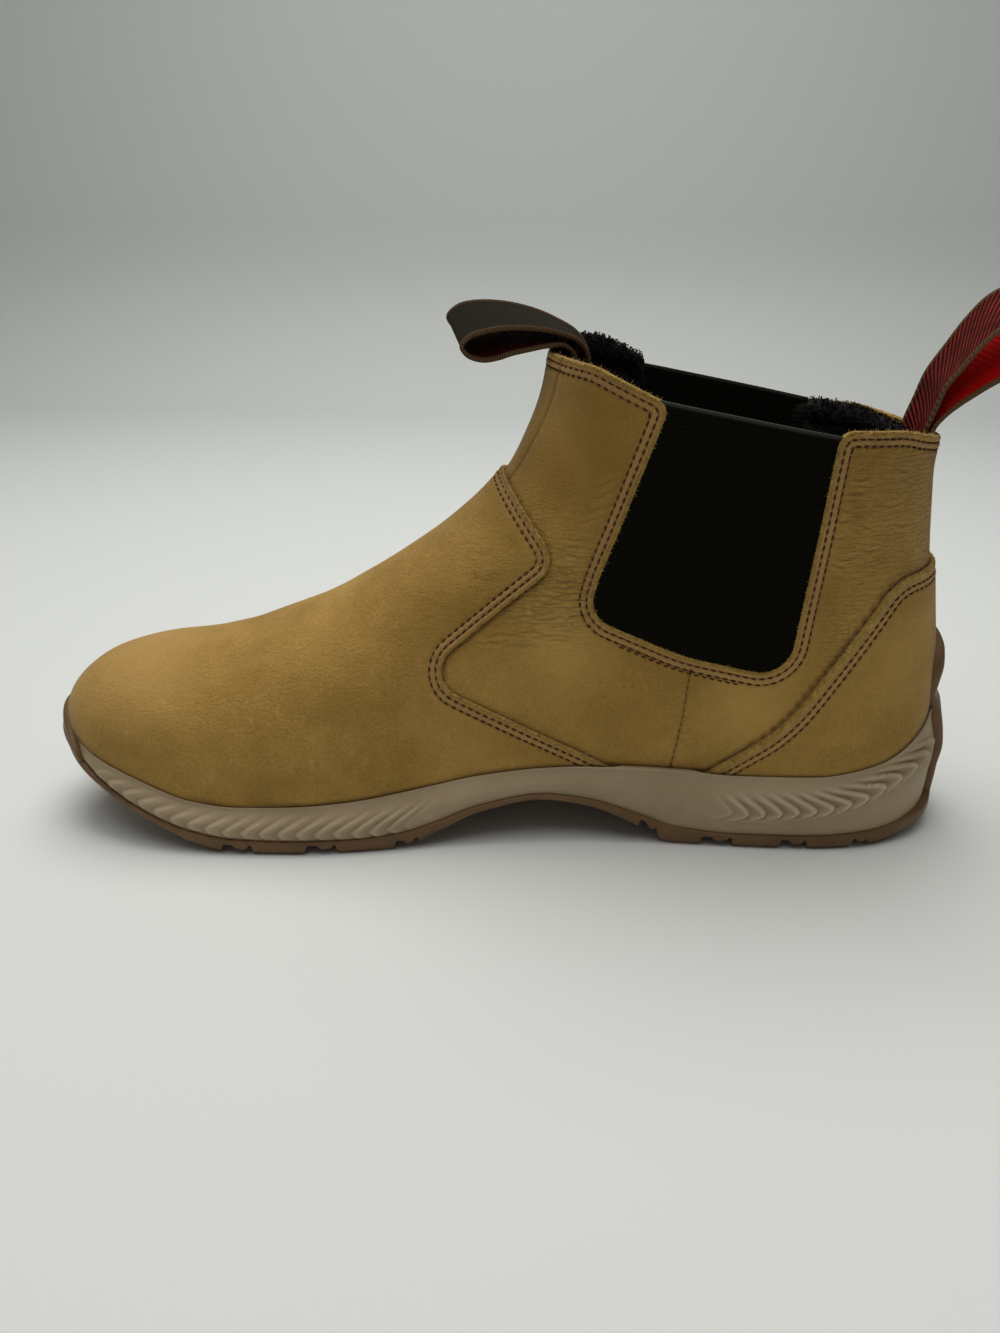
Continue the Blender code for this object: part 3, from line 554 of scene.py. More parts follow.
def level_on_form(U, target):
    """Ring numbers where the form reaches target(x), a height over the floor, along columns U."""
    low, high = np.zeros_like(U), np.full_like(U, HIGHEST_LEVEL)
    for _ in range(LEVEL_SEARCH):
        v = (low + high) / 2
        point = surface(U, v)
        below = point[:, 2] < target(point[:, 0])
        low, high = np.where(below, v, low), np.where(below, high, v)
    return v


def bottom_curve(U_from, U_to):
    U = np.linspace(U_from, U_to, BOTTOM_COLUMNS)
    v = level_on_form(U, lambda x: sole_value("bite", x, 1) - LEATHER_LAP)
    return np.stack([U, v], 1)


# %% [markdown]
# ## Seams and edges
# Three lines make the upper: the S-shaped edge of the vamp, the diagonal edge of the heel counter, and
# the collar, which dips round each elastic panel. They are drawn on the inner side and mirrored. The
# collar goes once round, so the front line has U = 1 at its outer end and U = 3 at its inner end.

# %% Seam lines
EDGE_GAP = 0.8
ROUND = [FULL_TURN, 0.0]
FRONT_OUTER, FRONT_INNER = 1.0, 3.0

VAMP_EDGE = [
    # x, z, radius
    (-1.2, 120.2, 0.0), (-6.2, 113.2, 30.0), (-18.9, 95.2, 8.0), (25.0, 58.8, 8.5), (-40.2, 25.05, 0.0),
]
COUNTER_EDGE = [
    # x, z, radius
    (-142.6, 93.6, 0.0), (-124.0, 91.8, 14.0), (-92.0, 43.5, 60.0), (-66.9, 24.2, 0.0),
]
COLLAR_AND_OPENING = [
    # x, z, radius
    (-14.5, 158.5, 0.0), (-28.0, 156.8, 20.0), (-50.2, 146.8, 4.5), (-42.4, 124.0, 70.0), (-31.9, 93.0, 40.0),
    (-28.4, 79.5, 9.0), (-60.0, 66.8, 80.0), (-93.0, 60.0, 10.0), (-100.3, 139.4, 5.0), (-122.0, 138.4, 25.0),
    (-137.5, 134.0, 0.0),
]


def over_both_sides(rows, heel=False):
    """One curve that runs up the inner side, over the front or heel line and down the outer side."""
    inner, outer = side_curve(rows, 1), side_curve(rows, -1)
    if heel:
        outer[:, 0] -= FULL_TURN
        return np.vstack([outer[::-1], inner[1:]])
    return np.vstack([inner[::-1], outer[1:]])


vamp_edge = even_spacing(over_both_sides(VAMP_EDGE), EDGE_GAP)
counter_edge = even_spacing(over_both_sides(COUNTER_EDGE, heel=True), EDGE_GAP)
collar_inner = side_curve(COLLAR_AND_OPENING, 1) + ROUND
collar_edge = np.vstack([side_curve(COLLAR_AND_OPENING, -1), collar_inner[::-1][1:]])
collar_edge = even_spacing(collar_edge, EDGE_GAP)
for name, curve in (("vamp", vamp_edge), ("counter", counter_edge), ("collar", collar_edge)):
    print("%s edge %.0f mm" % (name, run_length(laid(curve))[-1]))

# %% [markdown]
# ## Node helpers
# A finish is a small net of nodes. These helpers add a node and fill its sockets in one line, so that
# each material below reads as a list of what is done to its colour and its height.

# %% Node helpers


def feed(tree, socket, value):
    """Links a socket to another socket, or sets it to a value."""
    if isinstance(value, bpy.types.NodeSocket):
        tree.links.new(value, socket)
    else:
        socket.default_value = value


def add(tree, kind, inputs=None, **settings):
    """A shader node; inputs may be values or sockets to link."""
    node = tree.nodes.new("ShaderNode" + kind)
    for name, value in settings.items():
        setattr(node, name, value)
    for name, value in (inputs or {}).items():
        feed(tree, node.inputs[name], value)
    return node


def mixed(tree, factor, first, second):
    """A colour mix; returns its output socket."""
    return add(tree, "Mix", {0: factor, 6: first, 7: second}, data_type="RGBA").outputs[2]


def sums(tree, operation, first, second=0.0, third=0.0):
    return add(tree, "Math", {0: first, 1: second, 2: third}, operation=operation).outputs[0]


def spread(tree, value, low, high, to_low=0.0, to_high=1.0):
    """A value mapped from one range to another and kept inside it."""
    node = add(tree, "MapRange", {"Value": value, "From Min": low, "From Max": high,
                                  "To Min": to_low, "To Max": to_high})
    return node.outputs[0]


def new_group(name, inputs, outputs):
    """An empty node group with (name, kind, default) inputs and (name, kind) outputs."""
    tree = bpy.data.node_groups.new(name, "ShaderNodeTree")
    for title, kind, value in inputs:
        socket = tree.interface.new_socket(title, in_out="INPUT", socket_type="NodeSocket" + kind)
        socket.default_value = value
    for title, kind in outputs:
        tree.interface.new_socket(title, in_out="OUTPUT", socket_type="NodeSocket" + kind)
    return tree, tree.nodes.new("NodeGroupInput").outputs, tree.nodes.new("NodeGroupOutput").inputs


def use_group(tree, group, inputs):
    return add(tree, "Group", inputs, node_tree=group).outputs


def new_material(name, roughness, specular=0.3, **sockets):
    """A Principled material; returns it, its tree and its shader."""
    material = bpy.data.materials.new(name)
    material.use_nodes = True
    tree = material.node_tree
    shader = tree.nodes["Principled BSDF"]
    shader.inputs["Roughness"].default_value = roughness
    shader.inputs["Specular IOR Level"].default_value = specular
    for socket, value in sockets.items():
        shader.inputs[socket.replace("_", " ").title()].default_value = value
    return material, tree, shader


def attribute(tree, name):
    return add(tree, "Attribute", attribute_name=name).outputs["Fac"]


def bump_into(tree, shader, height, distance, strength=1.0):
    bump = add(tree, "Bump", {"Height": height, "Distance": distance, "Strength": strength})
    feed(tree, shader.inputs["Normal"], bump.outputs["Normal"])


def washed(tree, colour, mark, share, other):
    """A colour washed over with another by a share of a mark on the points."""
    return mixed(tree, sums(tree, "MULTIPLY", attribute(tree, mark), share), colour, (*other, 1))


# %% [markdown]
# ## Shared effects
# Several finishes share the same effects: a cloudy change of colour, a fine grain, and woven threads.
# Each effect is a node group with named sockets, and each material sets its own values. Their sizes
# are given in millimetres, as they would be measured on the boot.

# %% Shared effects
PER_METRE = 1000.0


def cloud_group():
    """Cloudy change between two colours at a size in millimetres, with fine specks."""
    tree, given, result = new_group("cloudy_colour", [
        ("Light", "Color", (1, 1, 1, 1)), ("Dark", "Color", (0, 0, 0, 1)), ("Size", "Float", 40.0),
        ("Speck Size", "Float", 0.6), ("Specks", "Float", 0.3)], [("Color", "Color")])
    place = add(tree, "TexCoord").outputs["Object"]
    scale = sums(tree, "DIVIDE", PER_METRE, given["Size"])
    fine = sums(tree, "DIVIDE", PER_METRE, given["Speck Size"])
    cloud = add(tree, "TexNoise", {"Vector": place, "Scale": scale, "Detail": 5.0, "Roughness": 0.62})
    speck = add(tree, "TexNoise", {"Vector": place, "Scale": fine, "Detail": 2.0})
    mask = spread(tree, cloud.outputs["Fac"], 0.32, 0.68)
    wobble = sums(tree, "SUBTRACT", speck.outputs["Fac"], 0.5)
    mask = sums(tree, "MULTIPLY_ADD", wobble, given["Specks"], mask)
    mask = spread(tree, mask, 0.0, 1.0)
    feed(tree, result["Color"], mixed(tree, mask, given["Dark"], given["Light"]))
    return tree


def grain_group():
    """Height of a fine grain: soft cells broken by noise, at a size in millimetres."""
    tree, given, result = new_group("fine_grain", [
        ("Size", "Float", 1.0), ("Nap", "Float", 0.5)], [("Height", "Float")])
    place = add(tree, "TexCoord").outputs["Object"]
    scale = sums(tree, "DIVIDE", PER_METRE, given["Size"])
    cells = add(tree, "TexVoronoi", {"Vector": place, "Scale": scale}, feature="SMOOTH_F1")
    double = sums(tree, "MULTIPLY", scale, 2.6)
    nap = add(tree, "TexNoise", {"Vector": place, "Scale": double, "Detail": 3.0})
    height = sums(tree, "MULTIPLY_ADD", nap.outputs["Fac"], given["Nap"], cells.outputs["Distance"])
    feed(tree, result["Height"], height)
    return tree


def weave_group():
    """Slanting or level threads along a strip, from distances in mm along and across it."""
    tree, given, result = new_group("woven_threads", [
        ("Along", "Float", 0.0), ("Across", "Float", 0.0), ("Slant", "Float", 1.0),
        ("Pitch", "Float", 1.0), ("Cross Pitch", "Float", 0.6)], [("Thread", "Float"), ("Height", "Float")])
    run = sums(tree, "MULTIPLY_ADD", given["Across"], given["Slant"], given["Along"])
    turns = sums(tree, "DIVIDE", run, given["Pitch"])
    wave = sums(tree, "SINE", sums(tree, "MULTIPLY", turns, 2 * math.pi))
    cross = sums(tree, "DIVIDE", given["Across"], given["Cross Pitch"])
    small = sums(tree, "SINE", sums(tree, "MULTIPLY", cross, 2 * math.pi))
    feed(tree, result["Thread"], spread(tree, wave, -1.0, 1.0))
    feed(tree, result["Height"], sums(tree, "MULTIPLY_ADD", small, 0.35, wave))
    return tree


def cloudy(tree, light, dark, size, speck_size, specks):
    """Colour of the cloudy effect."""
    return use_group(tree, CLOUDS, {"Light": (*light, 1), "Dark": (*dark, 1), "Size": size,
                                    "Speck Size": speck_size, "Specks": specks})["Color"]


def grain(tree, size, nap):
    """Height of the grain effect."""
    return use_group(tree, GRAIN, {"Size": size, "Nap": nap})["Height"]


CLOUDS, GRAIN, WEAVE = cloud_group(), grain_group(), weave_group()
print("shared effects:", CLOUDS.name, GRAIN.name, WEAVE.name)

# %% [markdown]
# ## Making pieces
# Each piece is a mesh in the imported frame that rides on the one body. Numbers that the finish needs,
# such as how near a raw edge is, are kept on the points.

# %% Piece helper


def make_piece(name, points, faces, material, replaced=(), marks=None):
    mesh = bpy.data.meshes.new(name)
    mesh.from_pydata(((np.asarray(points) + ORIGIN) * MM).tolist(), [], [tuple(map(int, f)) for f in faces])
    mesh.materials.append(material)
    mesh.shade_smooth()
    for mark, values in (marks or {}).items():
        layer = mesh.attributes.new(mark, "FLOAT", "POINT")
        layer.data.foreach_set("value", np.asarray(values, np.float32))
    piece = bpy.data.objects.new(name, mesh)
    bpy.context.collection.objects.link(piece)
    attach(piece, "root")
    if replaced:
        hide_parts(*replaced)
    print("%s: %d points, %d faces" % (name, len(points), len(faces)))
    return piece


def grid_faces(rows, columns, first=0, closed=False):
    """Quads of a grid of points stored row by row; closed joins the last column to the first."""
    i, j = np.meshgrid(np.arange(rows - 1), np.arange(columns if closed else columns - 1), indexing="ij")
    k = (j + 1) % columns
    a, b = i * columns + j, i * columns + k
    return (first + np.stack([a, b, b + columns, a + columns], -1).reshape(-1, 4)).tolist()


# %% [markdown]
# ## Nubuck
# Nubuck is leather with a buffed, velvety face: matt, cloudy in colour, with a fine nap. Along the
# seams it is pressed smooth and pinker, cut edges show golden fibre, and where it flexes it has a net
# of fine wrinkles. The marks on the points tell the material where each of these is.

# %% Nubuck material


def nubuck_material():
    material, tree, shader = new_material("wheat_nubuck", roughness=0.88, specular=0.13,
                                          sheen_weight=0.16, sheen_roughness=0.45)
    shader.inputs["Sheen Tint"].default_value = (0.92, 0.90, 0.86, 1.0)
    colour = cloudy(tree, (0.475, 0.282, 0.072), (0.325, 0.187, 0.040),
                    size=30.0, speck_size=0.8, specks=1.7)
    place = add(tree, "TexCoord").outputs["Object"]
    stretch = add(tree, "Mapping", {"Vector": place, "Scale": (420.0, 420.0, 70.0)}).outputs["Vector"]
    rubbed = add(tree, "TexNoise", {"Vector": stretch, "Scale": 1.0, "Detail": 2.0}).outputs["Fac"]
    colour = mixed(tree, spread(tree, rubbed, 0.64, 0.80, 0.0, 0.30), colour, (0.66, 0.44, 0.16, 1))
    # Darker where worn, plus painted shade on the shaft and in some patches.
    colour = washed(tree, colour, "wear_and_shade", 0.75, (0.245, 0.133, 0.024))
    # Paler where rubbed, plus painted highlights on crease ridges and in some patches.
    colour = washed(tree, colour, "pale_and_highlight", 1.0, (0.60, 0.375, 0.105))
    colour = washed(tree, colour, "pressed", 0.55, (0.50, 0.292, 0.118))
    # Painted shade in crease troughs, stitch channels and seam grooves.
    colour = washed(tree, colour, "groove_shade", 0.45, (0.19, 0.100, 0.026))
    fibre = cloudy(tree, (0.62, 0.40, 0.10), (0.33, 0.18, 0.035), size=2.2, speck_size=0.4, specks=1.4)
    colour = mixed(tree, attribute(tree, "raw"), colour, fibre)
    # Painted shade along the sole's lip and painted shadow under the edges of the vamp and counter.
    colour = washed(tree, colour, "crevice_shade", 1.0, (0.10, 0.055, 0.016))
    feed(tree, shader.inputs["Base Color"], colour)
    lie = add(tree, "Mapping", {"Vector": place, "Scale": (190.0, 190.0, 640.0)}).outputs["Vector"]
    bend = add(tree, "TexNoise", {"Vector": place, "Scale": 90.0, "Detail": 2.0}).outputs["Color"]
    lie = add(tree, "VectorMath", {0: lie, 1: bend}, operation="ADD").outputs[0]
    wrinkles = add(tree, "TexVoronoi", {"Vector": lie, "Scale": 1.0, "Randomness": 1.0},
                   feature="DISTANCE_TO_EDGE")
    net = spread(tree, wrinkles.outputs["Distance"], 0.0, 0.16)
    net = sums(tree, "MULTIPLY", net, attribute(tree, "flex"))
    fine = sums(tree, "MULTIPLY", grain(tree, size=0.85, nap=0.9), 0.75)
    height = sums(tree, "MULTIPLY_ADD", net, 2.0, fine)
    tuft = add(tree, "TexNoise", {"Vector": place, "Scale": 1100.0, "Detail": 3.0}).outputs["Fac"]
    tuft = sums(tree, "MULTIPLY", tuft, attribute(tree, "raw"))
    height = sums(tree, "MULTIPLY_ADD", tuft, 8.0, height)
    bump_into(tree, shader, height, distance=0.00024)
    return material


NUBUCK = nubuck_material()

# %% [markdown]
# ## Cutting a leather panel
# A panel is a closed outline on the form, as a cutter's pattern is on flat leather. A flat chart of the
# form tells which places lie inside the outline. They are filled with evenly spread points, row after
# row, so the triangles between them stay even on the curved form.

# %% Chart and fill
CHART_COLUMNS, CHART_RING = 1601, 0.42
CHART_U = np.linspace(-1.0, 3.0, CHART_COLUMNS)
CHART_S = run_length(surface(CHART_U, np.full(CHART_COLUMNS, CHART_RING)))
CHART_T = 170.0
FILL_COLUMNS = 500
ROW_SHARE = 0.9


def to_chart(curve):
    return np.stack([np.interp(curve[:, 0], CHART_U, CHART_S), curve[:, 1] * CHART_T], 1)


def from_chart(flat):
    return np.stack([np.interp(flat[:, 0], CHART_S, CHART_U), flat[:, 1] / CHART_T], 1)


def inside(flat, polygon):
    """Which chart points lie inside a closed chart polygon."""
    a, b = polygon, np.roll(polygon, -1, axis=0)
    result = np.zeros(len(flat), bool)
    for (ax, ay), (bx, by) in zip(a, b):
        if ay == by:
            continue
        spans = (ay > flat[:, 1]) != (by > flat[:, 1])
        result ^= spans & (flat[:, 0] < (bx - ax) * (flat[:, 1] - ay) / (by - ay) + ax)
    return result


def even_fill(polygon, gap):
    """Points spread over the form every gap mm, row after row, inside a chart polygon."""
    uv = from_chart(polygon)
    U = np.linspace(uv[:, 0].min(), uv[:, 0].max(), FILL_COLUMNS)
    rows = []
    for number, v in enumerate(np.arange(uv[:, 1].min(), uv[:, 1].max(), gap * ROW_SHARE / CHART_T)):
        length = run_length(surface(U, np.full(FILL_COLUMNS, v)))
        at = np.arange(gap * (0.25 + 0.5 * (number % 2)), length[-1], gap)
        rows.append(np.stack([np.interp(at, length, U), np.full(len(at), v)], 1))
    flat = to_chart(np.vstack(rows))
    return flat[inside(flat, polygon)]


def thinned(uv, gap, taken):
    """Drops every (U, v) row that lies closer than gap to a taken point or to a row already kept."""
    cells = {}
    keep = []
    steps = [(dx, dy, dz) for dx in (-1, 0, 1) for dy in (-1, 0, 1) for dz in (-1, 0, 1)]

    def near(p, cell):
        for dx, dy, dz in steps:
            for x, y, z in cells.get((cell[0] + dx, cell[1] + dy, cell[2] + dz), ()):
                if (p[0] - x) ** 2 + (p[1] - y) ** 2 + (p[2] - z) ** 2 < gap * gap:
                    return True
        return False

    for p in taken:
        cells.setdefault(tuple((p // gap).astype(int)), []).append(p.tolist())
    for i, p in enumerate(laid(uv)):
        cell = tuple((p // gap).astype(int))
        if not near(p, cell):
            keep.append(i)
            cells.setdefault(cell, []).append(p.tolist())
    return uv[keep]


# %% [markdown]
# ## From outline to panel
# The points of the outline, of the lines beside edges and stitches, and of the fill are joined into
# triangles, so the cut edge is exact and no step shows. A shape function lifts or sinks each point and
# gives its marks. The underside and the cut edge then close the panel to its real thickness.

# %% Panel builder
GUIDE_GAP = 0.22
FILL_CLEARANCE = 0.55
RAW_UNDER = 0.6
WELD_DIGITS = 3
NO_SEAM = (99.0,)
KEEP_INSIDE, SAME_PLACE = 1, 1e-7


def welded(points, faces):
    """Joins points at one place, drops faces that shrink to a line; also tells which points stay."""
    _, first, same = np.unique(points.round(WELD_DIGITS), axis=0, return_index=True, return_inverse=True)
    joined = [tuple(dict.fromkeys(same.ravel()[list(f)].tolist())) for f in faces]
    return points[first], [f for f in joined if len(f) > 2], first


def panel_points(outline_curve, guides, gap):
    """Triangles between the points of an outline, of guide curves inside it and of an even fill."""
    border = to_chart(outline_curve)
    guide = np.vstack(guides or [np.zeros((0, 2))])
    guide = thinned(guide[inside(to_chart(guide), border)], GUIDE_GAP, laid(outline_curve))
    taken = np.vstack([laid(outline_curve), laid(guide)])
    fill = thinned(from_chart(even_fill(border, gap)), gap * FILL_CLEARANCE, taken)
    flat = np.vstack([border, to_chart(guide), to_chart(fill)])
    count = len(border)
    edges = [(i, (i + 1) % count) for i in range(count)]
    corners = [Vector(p) for p in flat]
    flat_out, _, faces, _, _, _ = delaunay_2d_cdt(corners, edges, [], KEEP_INSIDE, SAME_PLACE)
    return from_chart(np.array([tuple(p) for p in flat_out])), [tuple(f) for f in faces]


def cut_panel(name, outline_curve, guides, grow, thickness, gap, shape, material, replaced=(),
              seam=()):
    """A thick panel; shape gives offsets and marks, and seam names the U values to join."""
    uv, faces = panel_points(outline_curve, guides, gap)
    point, normal, _, _ = form_frame(uv[:, 0], uv[:, 1], grow)
    offset, marks = shape(laid(uv), uv)
    top = point + normal * offset[:, None]
    bottom = point - normal * thickness
    a, b, c = (top[[f[k] for f in faces]] for k in range(3))
    wrong = np.sum(np.cross(b - a, c - a) * normal[[f[0] for f in faces]], 1) < 0
    faces = [f[::-1] if w else f for f, w in zip(faces, wrong)]
    total = len(top)
    under = [tuple(total + i for i in f[::-1]) for f in faces]
    used = {(f[k], f[(k + 1) % 3]) for f in faces for k in range(3)}
    closed = np.isclose(uv[:, :1], np.array([seam or NO_SEAM])).any(1)
    rim = sorted((i, j) for i, j in used if (j, i) not in used and not (closed[i] and closed[j]))
    sides = [(j, i, total + i, total + j) for i, j in rim]
    marks = {key: np.concatenate([values, values if key != "raw" else np.maximum(values, RAW_UNDER)])
             for key, values in marks.items()}
    points, faces = np.vstack([top, bottom]), faces + under + sides
    if seam:
        points, faces, first = welded(points, faces)
        marks = {key: values[first] for key, values in marks.items()}
    return make_piece(name, points, faces, material, replaced, marks)


# %% [markdown]
# ## How an edge is sewn
# Each seam has a cut edge that rounds off, then two stitch rows in pressed channels. The distances
# are the same all over the boot, so one function shapes them all.

# %% Edge profile
COLLAR_ROWS, VAMP_ROWS, COUNTER_ROWS = (2.2, 4.3), (2.0, 4.0), (3.3, 5.3)
EDGE_ROUND = 0.9
EDGE_DROP = 0.6
CHANNEL_HALF = 0.48
CHANNEL_DEPTH = 0.6
STITCH_PITCH = 2.65
PUCKER = 0.15
BULGE = 0.12
PUCKER_HALF, BULGE_HALF = 1.9, 0.55
EDGE_LINES = (0.2, 0.5, 0.9)
BESIDE_STITCH, BEYOND_STITCH = 0.5, 1.3


def beside_rows(rows):
    """Distances from the edge where a panel needs points: at the edge and beside each stitch row."""
    near = [row + step for row in rows for step in (-BESIDE_STITCH, 0.0, BESIDE_STITCH)]
    return [*EDGE_LINES, *near, sum(rows) / 2, rows[1] + BEYOND_STITCH]


def dense_points(curve, gap=0.25):
    return laid(even_spacing(curve, gap))


def sewn_offset(away, along, curve, rows):
    """Offset of the leather at a distance from its edge: rounded edge, stitch channels, puckers."""
    stitches = run_length(laid(curve))[-1] / STITCH_PITCH
    between = sum(rows) / 2
    offset = PUCKER * np.cos(2 * np.pi * stitches * along) * bell(away - between, PUCKER_HALF, power=4)
    offset += BULGE * bell(away - between, BULGE_HALF)
    offset -= EDGE_DROP * (1.0 - np.clip(away / EDGE_ROUND, 0.0, 1.0)) ** 2
    for row in rows:
        offset -= CHANNEL_DEPTH * bell(away - row, CHANNEL_HALF)
    return offset


# %% [markdown]
# ## Where the leather changes
# Wear and handling change the skin from place to place: it is rubbed pale on the bends and darker where
# hands and trousers touch it. The broad patches mix this wear with painted light and painted shade; the
# darkest, on the shaft, are painted shade. Painted shade also lies in the stitch channels and along the
# sole, where the foam's lip closes on the leather. Broad patches are listed; the rest follows from the
# distance to the seam and to the sole.

# %% Marks for the finish
PATCHES = [
    # x, z, radius, strength: the skin is paler above nought and darker below
    (121.0, 59.0, 13.0, 0.12), (113.0, 50.0, 15.0, 0.25), (-20.0, 72.0, 13.0, 0.6), (-6.0, 52.0, 15.0, 0.15),
    (-81.0, 52.0, 15.0, 0.55), (-122.0, 62.0, 15.0, 0.3), (18.0, 82.0, 13.0, -0.45),
    (-20.0, 122.0, 13.0, -0.95), (-40.0, 40.0, 11.0, -0.45), (-31.0, 147.0, 11.0, -0.9),
    (60.0, 60.0, 10.0, 0.15), (-104.0, 84.0, 10.0, -0.25), (-114.0, 126.0, 10.0, -0.3),
]
ROW_SHADE, ROW_SHADE_HALF = 0.8, 0.42
PRESSED_SHIFT, PRESSED_HALF = 0.4, 1.8
SEAM_WEAR, SEAM_WEAR_FROM, SEAM_WEAR_HALF = 0.4, 3.0, 5.0
# Painted shade in the crevice where the leather meets the foam's lip.
BITE_SHADE, BITE_SHADE_FROM, BITE_SHADE_TO = 0.75, -0.2, 1.3
RAW_FULL = 1.3


def spot_at(points, x, z, radius):
    """A round soft spot in the side view."""
    return np.exp(-(((points[:, 0] - x) ** 2 + (points[:, 2] - z) ** 2) / radius ** 2))


def sewn_marks(points, away, groove_shade, flex, rows, raw_width):
    """Marks for the finish: raw edge, pressed seam, flexed skin, wear with painted light and shade, painted
    groove and sole shade.
    """
    pressed = bell(away - sum(rows) / 2 + PRESSED_SHIFT, PRESSED_HALF, power=6)
    # Painted shade along each stitch channel.
    for row in rows:
        groove_shade = np.maximum(groove_shade, ROW_SHADE * bell(away - row, ROW_SHADE_HALF))
    over = points[:, 2] - sole_value("bite", points[:, 0], 1.0)
    wear_and_shade = bell(away - rows[1] - SEAM_WEAR_FROM, SEAM_WEAR_HALF) * SEAM_WEAR
    pale_and_highlight = np.zeros(len(points))
    # Patches add painted light where positive and painted shade where negative, over real rubbing and wear.
    for x, z, radius, strength in PATCHES:
        spot = spot_at(points, x, z, radius)
        pale_and_highlight += max(strength, 0.0) * spot
        wear_and_shade += max(-strength, 0.0) * spot
    return {"raw": np.clip(RAW_FULL - away / raw_width, 0.0, 1.0), "pressed": pressed, "groove_shade": groove_shade,
            "flex": flex, "wear_and_shade": np.clip(wear_and_shade, 0.0, 1.0), "pale_and_highlight": np.clip(pale_and_highlight, 0.0, 1.0),
            "crevice_shade": BITE_SHADE * (1.0 - smooth_step(over, BITE_SHADE_FROM, BITE_SHADE_TO))}


# %% [markdown]
# ## Creases
# Walking creases gather where the leather bends: on the quarter between vamp and elastic, and a few
# short ones on the vamp. Each is given as three side view points with a depth and a width. A
# crease is a soft trough with a low ridge beside it.

# %% Crease tables
QUARTER_CREASES = [
    # x, z at one end, the middle and the other end, depth, width
    (-17.5, 97.6, -21.3, 98.9, -27.5, 98.8, 0.22, 0.49),
    (-17.0, 96.0, -20.9, 95.0, -24.4, 96.0, 0.24, 0.50),
    (-17.2, 94.8, -19.6, 94.0, -23.8, 94.1, 0.29, 0.38),
    (-17.7, 93.5, -22.0, 93.2, -27.1, 93.2, 0.17, 0.56),
    (-18.4, 92.0, -22.7, 91.3, -27.7, 89.7, 0.22, 0.42),
    (-17.7, 90.5, -22.0, 90.5, -26.5, 89.0, 0.36, 0.47),
    (-14.7, 89.0, -19.7, 88.6, -24.6, 89.2, 0.32, 0.47),
    (-18.4, 87.2, -22.7, 86.9, -26.5, 87.2, 0.29, 0.40),
    (-12.7, 86.4, -17.8, 85.7, -22.9, 85.6, 0.29, 0.57),
    (-19.7, 84.8, -23.6, 84.7, -27.0, 85.8, 0.26, 0.54),
    (-11.5, 83.8, -16.1, 83.3, -21.0, 83.4, 0.30, 0.38),
    (-9.7, 81.8, -14.6, 81.0, -19.9, 81.7, 0.31, 0.50),
    (-18.6, 81.1, -22.9, 82.3, -27.4, 82.2, 0.23, 0.37),
    (-3.9, 79.3, -9.6, 79.0, -16.0, 79.7, 0.34, 0.47),
    (-9.7, 78.0, -15.5, 78.1, -21.1, 79.3, 0.31, 0.57),
    (-21.1, 78.1, -24.8, 79.6, -28.6, 80.0, 0.30, 0.58),
    (-6.0, 76.0, -11.6, 76.3, -17.4, 76.6, 0.24, 0.55),
    (-15.0, 74.9, -19.9, 76.3, -25.0, 76.8, 0.25, 0.58),
    (-4.8, 73.7, -9.7, 74.2, -15.0, 73.5, 0.34, 0.38),
    (-18.7, 74.3, -24.4, 74.9, -29.4, 76.7, 0.19, 0.42),
    (3.5, 72.5, -2.8, 73.2, -8.6, 72.4, 0.35, 0.46),
    (-9.9, 71.9, -15.6, 72.8, -21.9, 72.5, 0.29, 0.43),
    (8.0, 70.8, 2.4, 70.2, -3.3, 70.9, 0.26, 0.46),
    (-14.9, 70.7, -20.0, 71.7, -25.0, 72.6, 0.24, 0.50),
    (-1.6, 69.3, -7.9, 69.5, -13.6, 69.1, 0.28, 0.58),
    (-21.8, 104.8, -26.0, 104.4, -30.3, 105.2, 0.20, 0.58),
    (-17.4, 100.3, -21.7, 101.4, -27.4, 102.7, 0.22, 0.60),
    (-29.7, 120.8, -33.7, 123.6, -37.1, 125.2, 0.13, 0.40),
    (-28.6, 117.6, -32.2, 119.1, -36.2, 122.0, 0.15, 0.59),
    (-27.6, 113.8, -31.2, 114.7, -35.2, 117.2, 0.15, 0.50),
    (-24.0, 109.7, -28.3, 110.7, -33.1, 112.6, 0.15, 0.41),
    (-104.3, 126.1, -108.7, 124.9, -110.8, 125.9, 0.30, 0.45),
    (-102.4, 121.1, -107.5, 120.7, -111.0, 121.6, 0.33, 0.50),
    (-100.5, 116.9, -104.2, 115.8, -107.4, 115.3, 0.30, 0.45),
    (-100.1, 112.7, -103.8, 112.3, -107.9, 113.0, 0.33, 0.45),
    (-107.6, 109.7, -110.3, 110.7, -114.0, 109.5, 0.27, 0.41),
    (-99.5, 107.9, -103.3, 107.2, -107.1, 107.5, 0.33, 0.50),
    (-110.9, 104.2, -114.2, 102.1, -118.1, 103.1, 0.30, 0.50),
    (-103.4, 101.2, -107.8, 100.1, -110.9, 102.1, 0.30, 0.45),
    (-118.1, 127.6, -122.0, 126.3, -126.2, 126.1, 0.27, 0.45),
    (-119.7, 110.5, -123.2, 109.4, -127.5, 109.3, 0.27, 0.45),
    (-100.7, 98.9, -104.8, 98.1, -108.1, 98.0, 0.27, 0.41),
    (-116.8, 117.0, -119.9, 115.8, -124.2, 116.8, 0.30, 0.45),
]
